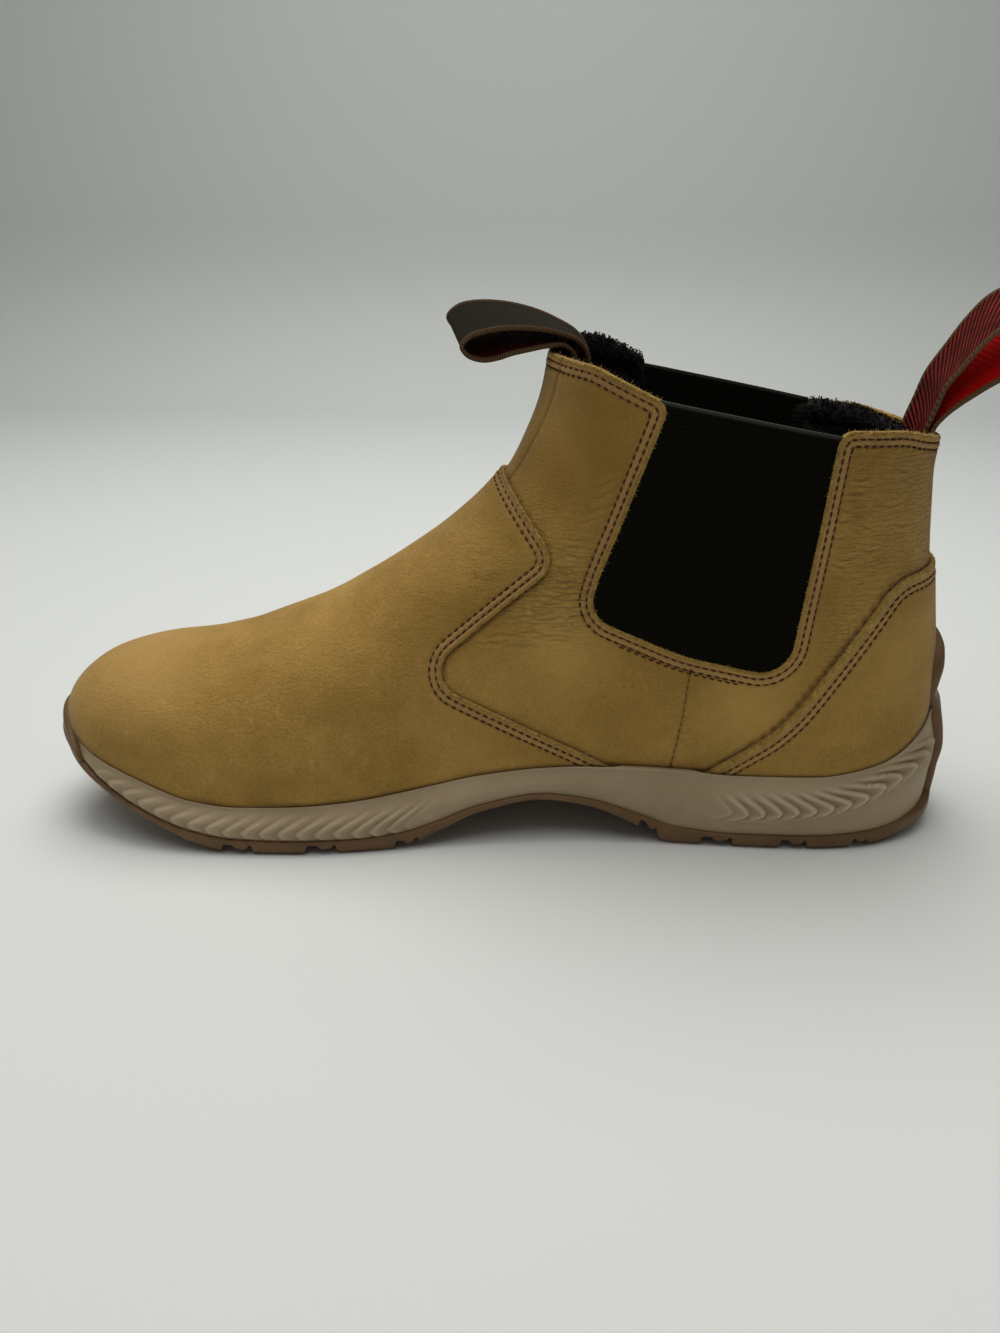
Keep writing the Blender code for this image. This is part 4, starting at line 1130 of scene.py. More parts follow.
VAMP_CREASES = [
    # x, z at one end, the middle and the other end, depth, width
    (3.5, 93.1, 1.3, 91.0, -1.3, 89.5, 0.27, 0.62),
    (5.3, 91.2, 2.0, 89.4, -0.6, 88.4, 0.19, 0.47),
    (8.5, 90.9, 5.7, 89.0, 3.1, 87.8, 0.28, 0.75),
    (25.0, 74.7, 23.0, 75.8, 20.5, 75.7, 0.15, 0.69),
    (7.4, 96.2, 4.1, 96.0, 0.9, 96.9, 0.21, 0.50),
    (60.0, 66.0, 48.0, 60.0, 38.0, 52.0, 0.30, 3.5),
    (84.0, 56.0, 70.0, 50.0, 60.0, 40.0, 0.28, 4.0),
    (97.0, 60.5, 90.0, 55.0, 86.0, 47.0, 0.25, 3.0),
]
FINE_CREASES = 5

# %% [markdown]
# ## Pressing the creases in
# A crease is bent through its three points and, if it is a fine one, waves a little. The leather sinks
# along it and rises in a low ridge on both sides, and both fade towards its ends. The trough gets painted
# shade, and on the quarters the ridges get a painted highlight.

# %% Crease shapes
CREASE_POINTS = 40
CREASE_STEP, BESIDE_STEP = 0.7, 0.8
CREASE_SIDES = (-1.8, -0.9, 0.9, 1.8)
CREASE_WAVE, CREASE_WAVE_LENGTH, WAVY_BELOW = 0.24, 6.0, 1.0
CREASE_SHADE, RIDGE_LIGHT = 0.6, 0.34
RIDGE_AWAY, RIDGE_SHARE = 1.7, 0.4
END_FADE = 0.6
DEEP_CREASE = 0.3


def bent_line(row):
    """The (U, v) rows of one crease on the inner side."""
    a, b, c = np.array(row[0:2]), np.array(row[2:4]), np.array(row[4:6])
    t = np.linspace(0.0, 1.0, CREASE_POINTS)[:, None]
    line = a * (1 - t) ** 2 + (2 * b - (a + c) / 2) * 2 * t * (1 - t) + c * t ** 2
    if row[7] < WAVY_BELOW:
        waves = np.linalg.norm(c - a) / CREASE_WAVE_LENGTH
        line[:, 1] += CREASE_WAVE * np.sin(2 * np.pi * waves * t[:, 0] + a[0])
    U, v = ring_of(line[:, 0], line[:, 1], 1)
    return np.stack([U, v], 1)


def crease_guides(rows, turn=0.0):
    guides = []
    for row in rows:
        curve = even_spacing(bent_line(row) + [turn, 0.0], CREASE_STEP)
        guides += [curve] + [shifted(curve, row[7] * k, BESIDE_STEP) for k in CREASE_SIDES]
    return guides


def creased(points, rows):
    """Offset, painted trough shade and painted ridge highlight of listed creases at points of the form."""
    offset, mark, light = np.zeros((3, len(points)))
    for row in rows:
        away, along = distances(points, dense_points(bent_line(row)))
        fade = np.clip(np.sin(np.pi * along), 0.0, 1.0) ** END_FADE * (along > 0.0) * (along < 1.0)
        depth, width = row[6], row[7]
        trough = bell(away, width) * fade
        ridge = bell(away - RIDGE_AWAY * width, width) * fade
        offset += depth * (RIDGE_SHARE * ridge - trough)
        strength = min(depth / DEEP_CREASE, 1.0) / max(width, 1.0) ** 2
        # Painted shade in the trough and a painted highlight on the ridges.
        mark = np.maximum(mark, CREASE_SHADE * trough * strength)
        light = np.maximum(light, RIDGE_LIGHT * ridge * strength)
    return offset, mark, light


# %% [markdown]
# ## Vamp
# The vamp covers the toe and instep and ends in the S-shaped edge. It stands proud of the quarters by
# its own thickness. Over the toe the nap is hazy and pinker.

# %% Vamp panel
OVERLAY_FACE = 1.8
OVERLAY_THICK = 1.6
PANEL_GAP = 1.7
BOTTOM_GAP = 1.5
GUIDE_STEP = 0.7
VAMP_FLEX, BEND_FLEX = 0.10, 0.2
BEND_MIDDLE, BEND_REACH = (0.0, 30.0, 88.0), 16.0
VAMP_RAW = 0.8
TOE_HAZE = (121.0, 59.0, 18.0, 0.6)


def vamp_shape(points, uv):
    away, along = distances(points, dense_points(vamp_edge))
    dent, groove_shade, _ = creased(points, VAMP_CREASES)
    near = bell(np.linalg.norm(points - BEND_MIDDLE, axis=1), BEND_REACH)
    marks = sewn_marks(points, away, groove_shade, VAMP_FLEX + BEND_FLEX * near, VAMP_ROWS, VAMP_RAW)
    x, z, radius, strength = TOE_HAZE
    marks["pressed"] = np.maximum(marks["pressed"], strength * spot_at(points, x, z, radius))
    return sewn_offset(away, along, vamp_edge, VAMP_ROWS) + dent, marks


def make_overlay(name, edge, rows, more_guides, shape, node):
    """A panel that lies on the quarters, from its sewn edge down to the sole."""
    bottom = even_spacing(bottom_curve(edge[-1, 0], edge[0, 0]), BOTTOM_GAP)
    guides = [shifted(edge, d, GUIDE_STEP) for d in beside_rows(rows)] + more_guides
    return cut_panel(name, np.vstack([edge, bottom]), guides, OVERLAY_FACE, OVERLAY_THICK, PANEL_GAP, shape,
                     NUBUCK, (node,))


fine_guides = crease_guides(VAMP_CREASES[:FINE_CREASES])
make_overlay("vamp_panel", vamp_edge, VAMP_ROWS, fine_guides, vamp_shape, "vamp")

# %% [markdown]
# ## Heel counter
# The counter wraps the heel and keeps it in shape. It is a second overlay: its diagonal edge is sewn
# with the same two rows, a little further in, and its cut edge shows more raw fibre.

# %% Counter panel
COUNTER_FLEX, COUNTER_RAW = 0.12, 1.9


def counter_shape(points, uv):
    away, along = distances(points, dense_points(counter_edge))
    flat = np.zeros(len(points))
    marks = sewn_marks(points, away, flat, flat + COUNTER_FLEX, COUNTER_ROWS, COUNTER_RAW)
    return sewn_offset(away, along, counter_edge, COUNTER_ROWS), marks


make_overlay("counter_panel", counter_edge, COUNTER_ROWS, [], counter_shape, "heel_counter")

# %% [markdown]
# ## Quarters and shaft
# The quarters run under the vamp and counter and are cut out round the elastic. A closed seam comes
# down the shaft on each side of the front, and a single-stitched seam drops from each opening to the
# sole. At the back the collar turns out a little.

# %% Outline and seams of the quarters
UNDER_LAP, UNDER_GAP = 7.0, 1.2
FRONT_STEP = 0.006
QUARTER_BOTTOM_GAP = 1.8
SIDE_SEAM = [
    # x, z, radius
    (-62.0, 62.8, 0.0), (-60.6, 46.0, 60.0), (-57.4, 24.0, 0.0),
]
FRONT_SEAM = [
    # U, v
    (0.884, 1.0), (0.895, 0.93), (0.908, 0.85), (0.924, 0.77), (0.937, 0.70),
]
FRONT_SEAM_POINTS = 120

side_seams = [side_curve(SIDE_SEAM, 1) + ROUND, side_curve(SIDE_SEAM, -1)]
front_rows = smooth_curve(FRONT_SEAM, FRONT_SEAM_POINTS)
front_seams = [front_rows + ROUND, front_rows * [-1.0, 1.0] + ROUND]


def quarter_outline():
    under = shifted(vamp_edge, UNDER_LAP, UNDER_GAP)
    inner, outer = under[under[:, 0] < FRONT_OUTER] + ROUND, under[under[:, 0] > FRONT_OUTER]
    peak = max(inner[-1, 1], outer[0, 1])
    seam = np.arange(1.0, peak, -FRONT_STEP)
    inner_seam = np.stack([np.full(len(seam), FRONT_INNER), seam], 1)
    outer_seam = np.stack([np.full(len(seam), FRONT_OUTER), seam[::-1]], 1)
    bottom = even_spacing(bottom_curve(inner[0, 0], outer[-1, 0]), QUARTER_BOTTOM_GAP)
    return np.vstack([collar_edge, inner_seam[1:], inner[::-1], bottom[1:-1], outer[::-1], outer_seam[:-1]])


# %% [markdown]
# ## The quarters' shape
# The listed creases lie on the inner side, where the photograph shows them. The two kinds of seam
# are narrow grooves with painted shade along them, a painted shadow lies on the leather where it runs
# under the vamp and the counter, the shaft front is painted darker as painted shade, and behind the
# elastic it is full of small wrinkles.

# %% Quarter panel
QUARTER_THICK = 1.8
QUARTER_RAW = 0.8
SEAMS = [
    # curves, groove depth, groove width, shade, shade width, guide step, guide distances
    (side_seams, 0.5, 0.5, 1.6, 0.4, 0.7, (-1.0, -0.45, 0.45, 1.0)),
    (front_seams, 0.6, 0.55, 1.6, 0.45, 0.8, (-1.1, -0.5, 0.5, 1.1)),
]
TURN_OUT, TURN_OUT_FROM, TURN_OUT_TO, TURN_OUT_REACH = 1.5, 118.0, 136.0, 7.0
LAP_SHADE, LAP_REACH, LAP_GAP = 0.85, 0.7, 0.5
QUARTER_FLEX, REAR_FLEX, REAR_FLEX_FROM, REAR_FLEX_TO = 0.12, 0.62, 98.0, 108.0
FLEX_SPOT = (-18.0, 88.0, 0.8, 17.0)
SHAFT_SHADE_SPOT = (-33.0, 124.0, 0.55, 17.0)
CLEAR_OF_CREASE = 0.2


def turned_out(points, away):
    """How far the collar turns out at the back."""
    back = smooth_step(-points[:, 0], TURN_OUT_FROM, TURN_OUT_TO)
    return TURN_OUT * back * bell(away, TURN_OUT_REACH)


def tall_spot(points, x, z, squeeze, reach):
    """A soft spot in the side view that is taller than wide."""
    return bell(np.hypot(points[:, 0] - x, (points[:, 2] - z) * squeeze), reach)


def quarter_shape(points, uv):
    away, along = distances(points, dense_points(collar_edge))
    offset = sewn_offset(away, along, collar_edge, COLLAR_ROWS) + turned_out(points, away)
    on_inner = uv[:, 0] > FULL_TURN
    dent, groove_shade, light = creased(points, QUARTER_CREASES)
    offset += np.where(on_inner, dent, 0.0)
    groove_shade = np.where(on_inner, groove_shade, 0.0)
    for seams, depth, width, shade, shade_width, _, _ in SEAMS:
        for seam in seams:
            beside, _ = distances(points, dense_points(seam))
            offset -= depth * bell(beside, width)
            # Painted shade along each seam groove.
            groove_shade = np.maximum(groove_shade, shade * bell(beside, shade_width))
    rear = REAR_FLEX * smooth_step(-points[:, 0], REAR_FLEX_FROM, REAR_FLEX_TO)
    flex = np.clip(QUARTER_FLEX + tall_spot(points, *FLEX_SPOT) + rear, 0.0, 1.0)
    marks = sewn_marks(points, away, groove_shade, flex, COLLAR_ROWS, QUARTER_RAW)
    # Painted shadow on the quarter under the edges of the vamp and the counter.
    for edge in (vamp_edge, counter_edge):
        beside, _ = distances(points, dense_points(np.vstack([edge, edge + ROUND]), LAP_GAP))
        marks["crevice_shade"] = np.maximum(marks["crevice_shade"], LAP_SHADE * bell(beside, LAP_REACH))
    # The shaft front is painted darker, as painted shade.
    marks["wear_and_shade"] = np.maximum(marks["wear_and_shade"], tall_spot(points, *SHAFT_SHADE_SPOT))
    # Crease ridges on the inner quarter get a painted highlight.
    ridges = np.where(on_inner & (groove_shade < CLEAR_OF_CREASE), light, 0.0)
    marks["pale_and_highlight"] = np.maximum(marks["pale_and_highlight"], ridges)
    return offset, marks


def make_quarters():
    guides = [shifted(collar_edge, d, GUIDE_STEP) for d in beside_rows(COLLAR_ROWS)]
    guides += crease_guides(QUARTER_CREASES, FULL_TURN)
    for seams, _, _, _, _, step, away in SEAMS:
        for seam in seams:
            guides += [even_spacing(seam, step)] + [shifted(seam, d, step) for d in away]
    return cut_panel("quarter_panels", quarter_outline(), guides, 0.0, QUARTER_THICK, PANEL_GAP,
                     quarter_shape, NUBUCK, ("upper",), (FRONT_OUTER, FRONT_INNER))


make_quarters()

# %% [markdown]
# ## Closed slabs
# The elastic, the rubber that climbs the boot and the footbed are slabs: an outer face, an inner face
# and a rim that closes them. A mesh whose faces look inwards would be shaded wrongly, so most closed
# meshes are turned to look outwards; the footbed keeps the faces the slab gives it.

# %% Slab helpers


def slab(top, bottom):
    """Points and faces of a closed slab between two grids of points."""
    rows, columns = top.shape[:2]
    count = rows * columns
    upper = grid_faces(rows, columns)
    lower = [tuple(count + i for i in f[::-1]) for f in upper]
    index = np.arange(count).reshape(rows, columns)
    rim = np.concatenate([index[0, :-1], index[:-1, -1], index[-1, :0:-1], index[:0:-1, 0]])
    sides = [(b, a, a + count, b + count) for a, b in zip(rim, np.roll(rim, -1))]
    return np.vstack([top.reshape(-1, 3), bottom.reshape(-1, 3)]), upper + lower + sides


def outward(points, faces):
    """Turns every face of a closed mesh over if its volume comes out negative."""
    centred = points - points.mean(0)
    corners = np.array([(f[0], f[k], f[k + 1]) for f in faces for k in range(1, len(f) - 1)])
    a, b, c = (centred[corners[:, k]] for k in range(3))
    return faces if np.sum(a * np.cross(b, c)) > 0 else [tuple(f)[::-1] for f in faces]


# %% [markdown]
# ## Elastic panels
# Each opening holds a panel of black ribbed elastic. Its ribs lie level with its top edge and turn a
# little towards the bottom seam, so the panel is a patch between four corners that run under the
# leather. The ribs are real waves in the mesh.

# %% Elastic panels
ELASTIC_CORNERS = {
    # x, z
    "front_top": (-44.8, 148.6), "rear_top": (-105.5, 137.0),
    "front_bottom": (-23.5, 76.5), "rear_bottom": (-98.5, 55.0),
}
OUTER_RISE = 2.6
ELASTIC_FACE = -0.7
ELASTIC_THICK = 1.25
RIB_PITCH = 1.25
RIB_HEIGHT = 0.16
RIBS = 66
ROWS_PER_RIB = 5
ELASTIC_COLUMNS = 30
FOLD_FROM, FOLD_RUN, FOLD_RISE = 0.985, 0.008, 0.25


def elastic_material():
    material, tree, shader = new_material("black_elastic", roughness=0.85, specular=0.06)
    weave = use_group(tree, WEAVE, {"Along": attribute(tree, "along"), "Across": attribute(tree, "across"),
                                    "Slant": 0.0, "Pitch": 0.8, "Cross Pitch": RIB_PITCH})
    thread = mixed(tree, weave["Thread"], (0.0030, 0.0026, 0.0011, 1), (0.0085, 0.0075, 0.0036, 1))
    colour = mixed(tree, attribute(tree, "fold"), thread, (0.050, 0.048, 0.043, 1))
    feed(tree, shader.inputs["Base Color"], colour)
    bump_into(tree, shader, weave["Height"], distance=0.00012, strength=0.7)
    return material


def make_elastic(name, side, node):
    shape = (RIBS * ROWS_PER_RIB + 1, ELASTIC_COLUMNS, 1)
    t = np.linspace(0.0, 1.0, shape[0])[:, None, None]
    s = np.linspace(0.0, 1.0, ELASTIC_COLUMNS)[None, :, None]
    corner = {key: np.array(value) for key, value in ELASTIC_CORNERS.items()}
    low = corner["front_bottom"] * (1 - s) + corner["rear_bottom"] * s
    high = corner["front_top"] * (1 - s) + corner["rear_top"] * s + [0.0, OUTER_RISE if side < 0 else 0.0]
    flat = (low * (1 - t) + high * t).reshape(-1, 2)
    U, v = ring_of(flat[:, 0], flat[:, 1], side)
    point, normal, _, _ = form_frame(U, v, ELASTIC_FACE)
    fold = np.clip((t - FOLD_FROM) / FOLD_RUN, 0.0, 1.0)
    rib = RIB_HEIGHT * np.cos(2 * np.pi * RIBS * t)
    rise = np.broadcast_to(rib * (1 - fold) + FOLD_RISE * fold, shape).reshape(-1, 1)
    top, bottom = point + normal * rise, point - normal * ELASTIC_THICK
    points, faces = slab(*(face.reshape(*shape[:2], 3) for face in (top, bottom)))
    marks = {"along": np.linalg.norm(flat - flat[0], axis=1),
             "across": np.broadcast_to(t * RIBS * RIB_PITCH, shape).ravel(),
             "fold": np.broadcast_to(fold, shape).ravel()}
    marks = {key: np.tile(values, 2) for key, values in marks.items()}
    return make_piece(name, points, outward(points, faces), ELASTIC, (node,), marks)


ELASTIC = elastic_material()
make_elastic("elastic_inner_side", 1, "gusset_medial")
make_elastic("elastic_outer_side", -1, "gusset_lateral")

# %% [markdown]
# ## Stitches
# The thread is dark brown. Each stitch is a short bead of thread that rises from one needle hole and
# sinks into the next. All the stitches of a seam are one mesh, set along the stitch rows.

# %% Stitches
STITCH_LENGTH = 1.95
THREAD = 0.58
STITCH_RINGS = np.array([
    # share along, thickness, sink
    (-0.5, 0.25, 0.42), (-0.4, 0.8, 0.2), (-0.15, 1.0, 0.0),
    (0.15, 1.0, 0.0), (0.4, 0.8, 0.2), (0.5, 0.25, 0.42),
])
STITCH_SIDES = 6


def cloudy_material(name, roughness, specular, light, dark, clouds, grains=None, **sockets):
    """A cloudy finish; clouds are (size, speck size, specks) and grains are (size, nap, depth)."""
    material, tree, shader = new_material(name, roughness, specular, **sockets)
    feed(tree, shader.inputs["Base Color"], cloudy(tree, light, dark, *clouds))
    if grains:
        bump_into(tree, shader, grain(tree, *grains[:2]), grains[2])
    return material


def stitch_row(curve, grow, sink, edge_away=None):
    """Middle, direction and normal of every stitch along a curve."""
    holes = even_spacing(curve, STITCH_PITCH)
    middle = (holes[1:] + holes[:-1]) / 2
    point, normal, _, _ = form_frame(middle[:, 0], middle[:, 1], grow)
    if edge_away is not None:
        point = point + normal * turned_out(point, edge_away)[:, None]
    hole = laid(holes)
    run = hole[1:] - hole[:-1]
    run -= normal * np.sum(run * normal, 1)[:, None]
    return point - normal * sink, unit(run), normal


def capped_tubes(count, rings, sides):
    """Faces of many tubes of one kind, each closed at both ends."""
    one = grid_faces(rings, sides, closed=True)
    one += [tuple(range(sides - 1, -1, -1)), tuple(range((rings - 1) * sides, rings * sides))]
    return [tuple(rings * sides * tube + i for i in face) for tube in range(count) for face in one]


def make_stitches(name, rows):
    middle, run, normal = (np.vstack(part) for part in zip(*rows))
    side = np.cross(normal, run)
    turn = 2 * np.pi * np.arange(STITCH_SIDES) / STITCH_SIDES
    along, thick, sink = STITCH_RINGS.T
    across = THREAD / 2 * thick[:, None] * np.cos(turn)
    up = THREAD / 2 * thick[:, None] * np.sin(turn) - sink[:, None]
    points = middle[:, None, None] + run[:, None, None] * (along * STITCH_LENGTH)[:, None, None]
    points = points + side[:, None, None] * across[..., None] + normal[:, None, None] * up[..., None]
    points = points.reshape(-1, 3)
    faces = outward(points, capped_tubes(len(middle), len(along), STITCH_SIDES))
    return make_piece(name, points, faces, BROWN_THREAD)


# %% [markdown]
# ## Sewing the seams
# Two rows follow each edge. Below each opening a third row runs beside them, where the lining is caught.
# The short seams from the openings to the sole have one row, sunk into their groove.

# %% Stitch rows
STITCH_SINK, THIRD_SINK, SEAM_SINK = 0.26, 0.05, 0.62
THIRD_ROW_AWAY, THIRD_FROM, THIRD_TO, THIRD_BELOW = 0.8, -78.0, -38.0, 0.6


def below_opening(curve, inner):
    """The stretch of a curve under the opening of one side."""
    x = laid(curve)[:, 0]
    on_side = (curve[:, 0] > FULL_TURN) == inner
    return curve[(x > THIRD_FROM) & (x < THIRD_TO) & on_side & (curve[:, 1] < THIRD_BELOW)]


BROWN_THREAD = cloudy_material("brown_thread", 0.85, 0.08, (0.115, 0.048, 0.021), (0.038, 0.015, 0.0065),
                               clouds=(6.0, 0.5, 0.5), grains=(0.3, 0.5, 0.0001))
collar_rows = [stitch_row(shifted(collar_edge, d), 0.0, STITCH_SINK, d) for d in COLLAR_ROWS]
third_row = shifted(collar_edge, COLLAR_ROWS[1] + THIRD_ROW_AWAY)
collar_rows += [stitch_row(below_opening(third_row, inner), 0.0, THIRD_SINK) for inner in (True, False)]
make_stitches("stitches_collar", collar_rows)
for name, edge, rows in (("vamp", vamp_edge, VAMP_ROWS), ("counter", counter_edge, COUNTER_ROWS)):
    make_stitches("stitches_" + name, [stitch_row(shifted(edge, d), OVERLAY_FACE, STITCH_SINK) for d in rows])
make_stitches("stitches_side_seams", [stitch_row(seam, 0.0, SEAM_SINK) for seam in side_seams])

# %% [markdown]
# ## Fibres on the cut edges
# A cut nubuck edge is never clean: short golden fibres stand out of it, most of all at the collar and
# round the elastic. They are thin three-sided spikes, set at random along the edges with a fixed seed.

# %% Fibres
FIBRE_SEED = 7
FIBRE_WIDTH = 0.17
FIBRE_GAP = 0.3
ROOT_SHALLOW, ROOT_DEEP, ROOT_IN = 0.1, 1.5, 0.25
LEAN, LEAN_SHARE, LEAST_OUT = 0.55, 0.6, 0.5
SHORTEST, SHORT_POWER = 0.35, 1.5


def make_fibres(name, curve, grow, per_mm, longest):
    chance = np.random.default_rng(FIBRE_SEED)
    dense = even_spacing(curve, FIBRE_GAP)
    count = int(per_mm * FIBRE_GAP * len(dense))
    pick = np.sort(chance.integers(1, len(dense) - 1, count))
    point, normal, _, _ = form_frame(dense[:, 0], dense[:, 1], grow)
    run = unit(np.gradient(point, axis=0))
    out = -np.cross(normal, run)
    depth = chance.uniform(ROOT_SHALLOW, ROOT_DEEP, (count, 1))
    root = point[pick] - normal[pick] * depth - out[pick] * ROOT_IN
    lean = chance.normal(0.0, LEAN, (count, 3))
    way = out[pick] * chance.uniform(LEAST_OUT, 1.0, (count, 1)) + lean * LEAN_SHARE
    tip = root + way * longest * chance.uniform(SHORTEST, 1.0, (count, 1)) ** SHORT_POWER
    wide = run[pick] * FIBRE_WIDTH
    deep = normal[pick] * FIBRE_WIDTH
    points = np.stack([root - wide / 2, root + wide / 2, root - deep, tip], 1).reshape(-1, 3)
    one = np.array([(0, 1, 3), (1, 2, 3), (2, 0, 3), (0, 2, 1)])
    faces = (one[None] + 4 * np.arange(count)[:, None, None]).reshape(-1, 3).tolist()
    return make_piece(name, points, outward(points, faces), EDGE_FIBRE)


EDGE_FIBRE = cloudy_material("edge_fibre", 0.9, 0.15, (0.64, 0.41, 0.11), (0.34, 0.19, 0.04),
                             clouds=(1.5, 0.5, 0.6), sheen_weight=0.2)
make_fibres("fibres_collar", collar_edge, 0.0, per_mm=8.0, longest=1.2)
make_fibres("fibres_vamp", vamp_edge, OVERLAY_FACE, per_mm=5.0, longest=0.75)
make_fibres("fibres_counter", counter_edge, OVERLAY_FACE, per_mm=11.0, longest=0.9)

# %% [markdown]
# ## Lining
# Inside, the boot is lined with black knit, a thin cloth that follows the leather from the collar down
# to the footbed. It is cut as one more panel, with a bump of small holes for the knit.

# %% Lining
LINING_FACE = -2.0
LINING_THICK, LINING_GAP = 0.5, 4.5
LINING_BELOW_COLLAR, LINING_EDGE_GAP = 0.9, 1.5
LINING_TOP, LINING_FOOT = 0.99, 0.03
LINING_ROWS, LINING_COLUMNS = 90, 300


def knit_material():
    material, tree, shader = new_material("black_knit", roughness=0.9, specular=0.06)
    colour = cloudy(tree, (0.014, 0.0125, 0.010), (0.003, 0.0027, 0.002),
                    size=12.0, speck_size=0.8, specks=0.9)
    feed(tree, shader.inputs["Base Color"], colour)
    place = add(tree, "TexCoord").outputs["Object"]
    holes = add(tree, "TexVoronoi", {"Vector": place, "Scale": 620.0, "Randomness": 0.25})
    bump_into(tree, shader, holes.outputs["Distance"], distance=0.0005)
    return material


def lining_shape(points, uv):
    return np.zeros(len(points)), {}


def make_lining():
    seam = np.linspace(LINING_TOP, LINING_FOOT, LINING_ROWS)
    U = np.linspace(FRONT_INNER, FRONT_OUTER, LINING_COLUMNS)
    inner = np.stack([np.full(LINING_ROWS, FRONT_INNER), seam], 1)
    outer = np.stack([np.full(LINING_ROWS, FRONT_OUTER), seam[::-1]], 1)
    bottom = np.stack([U, np.full(LINING_COLUMNS, LINING_FOOT)], 1)[1:-1]
    edge = shifted(collar_edge, LINING_BELOW_COLLAR, LINING_EDGE_GAP)
    return cut_panel("knit_lining", np.vstack([edge, inner, bottom, outer]), [], LINING_FACE, LINING_THICK,
                     LINING_GAP, lining_shape, KNIT)


KNIT = knit_material()
make_lining()

# %% [markdown]
# ## Terry
# The collar's padding is covered with terry, a cloth with loops of yarn all over it. Each loop is a
# short bent tube that stands on a point of the padded roll, turned at random.

# %% Terry loops
ROLL_COLUMNS = 130
ROLL_POINTS = 60
TERRY_LOOPS, YARN_STEPS, YARN_SIDES = 900, 6, 4
YARN_RADIUS, LOOP_HALF = 0.17, 0.45
LOWEST_LOOP, TALLEST_LOOP = 0.6, 1.15
LOOPS_FROM, LOOPS_TO, CORE_FROM, BARE_ENDS = 14, 44, 8, 2


def make_terry_loops(name, points, chance):
    """Small loops of yarn all over the top of a roll."""
    column = chance.integers(BARE_ENDS, ROLL_COLUMNS - BARE_ENDS, TERRY_LOOPS)
    row = chance.integers(LOOPS_FROM, LOOPS_TO, TERRY_LOOPS)
    base = points[column, row]
    out = unit(base - points[column][:, CORE_FROM:LOOPS_TO].mean(1))
    side = unit(np.cross(out, chance.normal(size=(TERRY_LOOPS, 3))))
    reach = chance.uniform(LOWEST_LOOP, TALLEST_LOOP, (TERRY_LOOPS, 1, 1))
    turn = np.linspace(0.0, np.pi, YARN_STEPS)[None, :, None]
    ring = (2 * np.pi * np.arange(YARN_SIDES) / YARN_SIDES)[None, None, :, None]
    spoke = side[:, None] * np.cos(turn) + out[:, None] * np.sin(turn)
    path = base[:, None] + side[:, None] * np.cos(turn) * LOOP_HALF
    path = path + out[:, None] * (np.sin(turn) * reach)
    across = np.cross(out, side)[:, None, None]
    tube = path[:, :, None] + YARN_RADIUS * (spoke[:, :, None] * np.cos(ring) + across * np.sin(ring))
    tube = tube.reshape(-1, 3)
    faces = outward(tube, capped_tubes(TERRY_LOOPS, YARN_STEPS, YARN_SIDES))
    return make_piece(name, tube, faces, TERRY)


TERRY = cloudy_material("black_terry", 0.95, 0.06, (0.036, 0.033, 0.030), (0.0055, 0.005, 0.0045),
                        clouds=(5.0, 0.9, 0.9), grains=(1.1, 0.8, 0.0009))

# %% [markdown]
# ## Padded collar
# In front and at the back the lining ends in a padded roll of terry that stands a little above the
# leather; beside the elastic there is none. A roll is one section, led along the collar and rounded at
# both ends.

# %% Padded collar rolls
ROLL_PROFILE = [
    # inwards, upwards
    (0.0, -15.0), (0.0, -6.0), (0.1, -2.5), (0.7, -0.8), (2.0, 0.0), (3.4, -0.6), (4.4, -2.4), (4.5, -5.0),
    (3.8, -7.0), (3.1, -8.0), (3.4, -9.2), (3.5, -12.0), (2.6, -15.0),
]
ROLL_MIDDLE = np.array([1.8, -6.0])
ROLL_END = 4.0
THINNEST_END = 0.02
PILE = 0.45
LOOP_SEED = 11
COLLAR_RINGS = 0.93
PILE_FROM, PILE_RUN, PILE_WAY = -9.0, 3.0, [0.6, 0.8]
OPENING_FRONT, OPENING_BACK = (-46.5, 150.0), (-105.0, 139.0)
FRONT_CLEAR = 0.005


def collar_line(U_from, U_to):
    """U and v along a stretch of the collar's top edge."""
    U = np.linspace(U_from, U_to, ROLL_COLUMNS)
    edge = even_spacing(collar_edge, SHIFT_GAP)
    edge = edge[edge[:, 1] > COLLAR_RINGS]
    edge = edge[np.argsort(edge[:, 0])]
    return U, np.interp(U, edge[:, 0], edge[:, 1])


def on_lining(U, v, inwards, upwards):
    """Points inside the collar: below its edge they follow the form, above it they go straight on."""
    _, _, _, up = form_frame(U, v, LINING_FACE)
    tall = np.linalg.norm(up, axis=1)
    point, normal, _, up = form_frame(U, v + np.minimum(upwards, 0.0) / tall, LINING_FACE)
    return point - normal * inwards[:, None] + unit(up) * np.maximum(upwards, 0.0)[:, None]


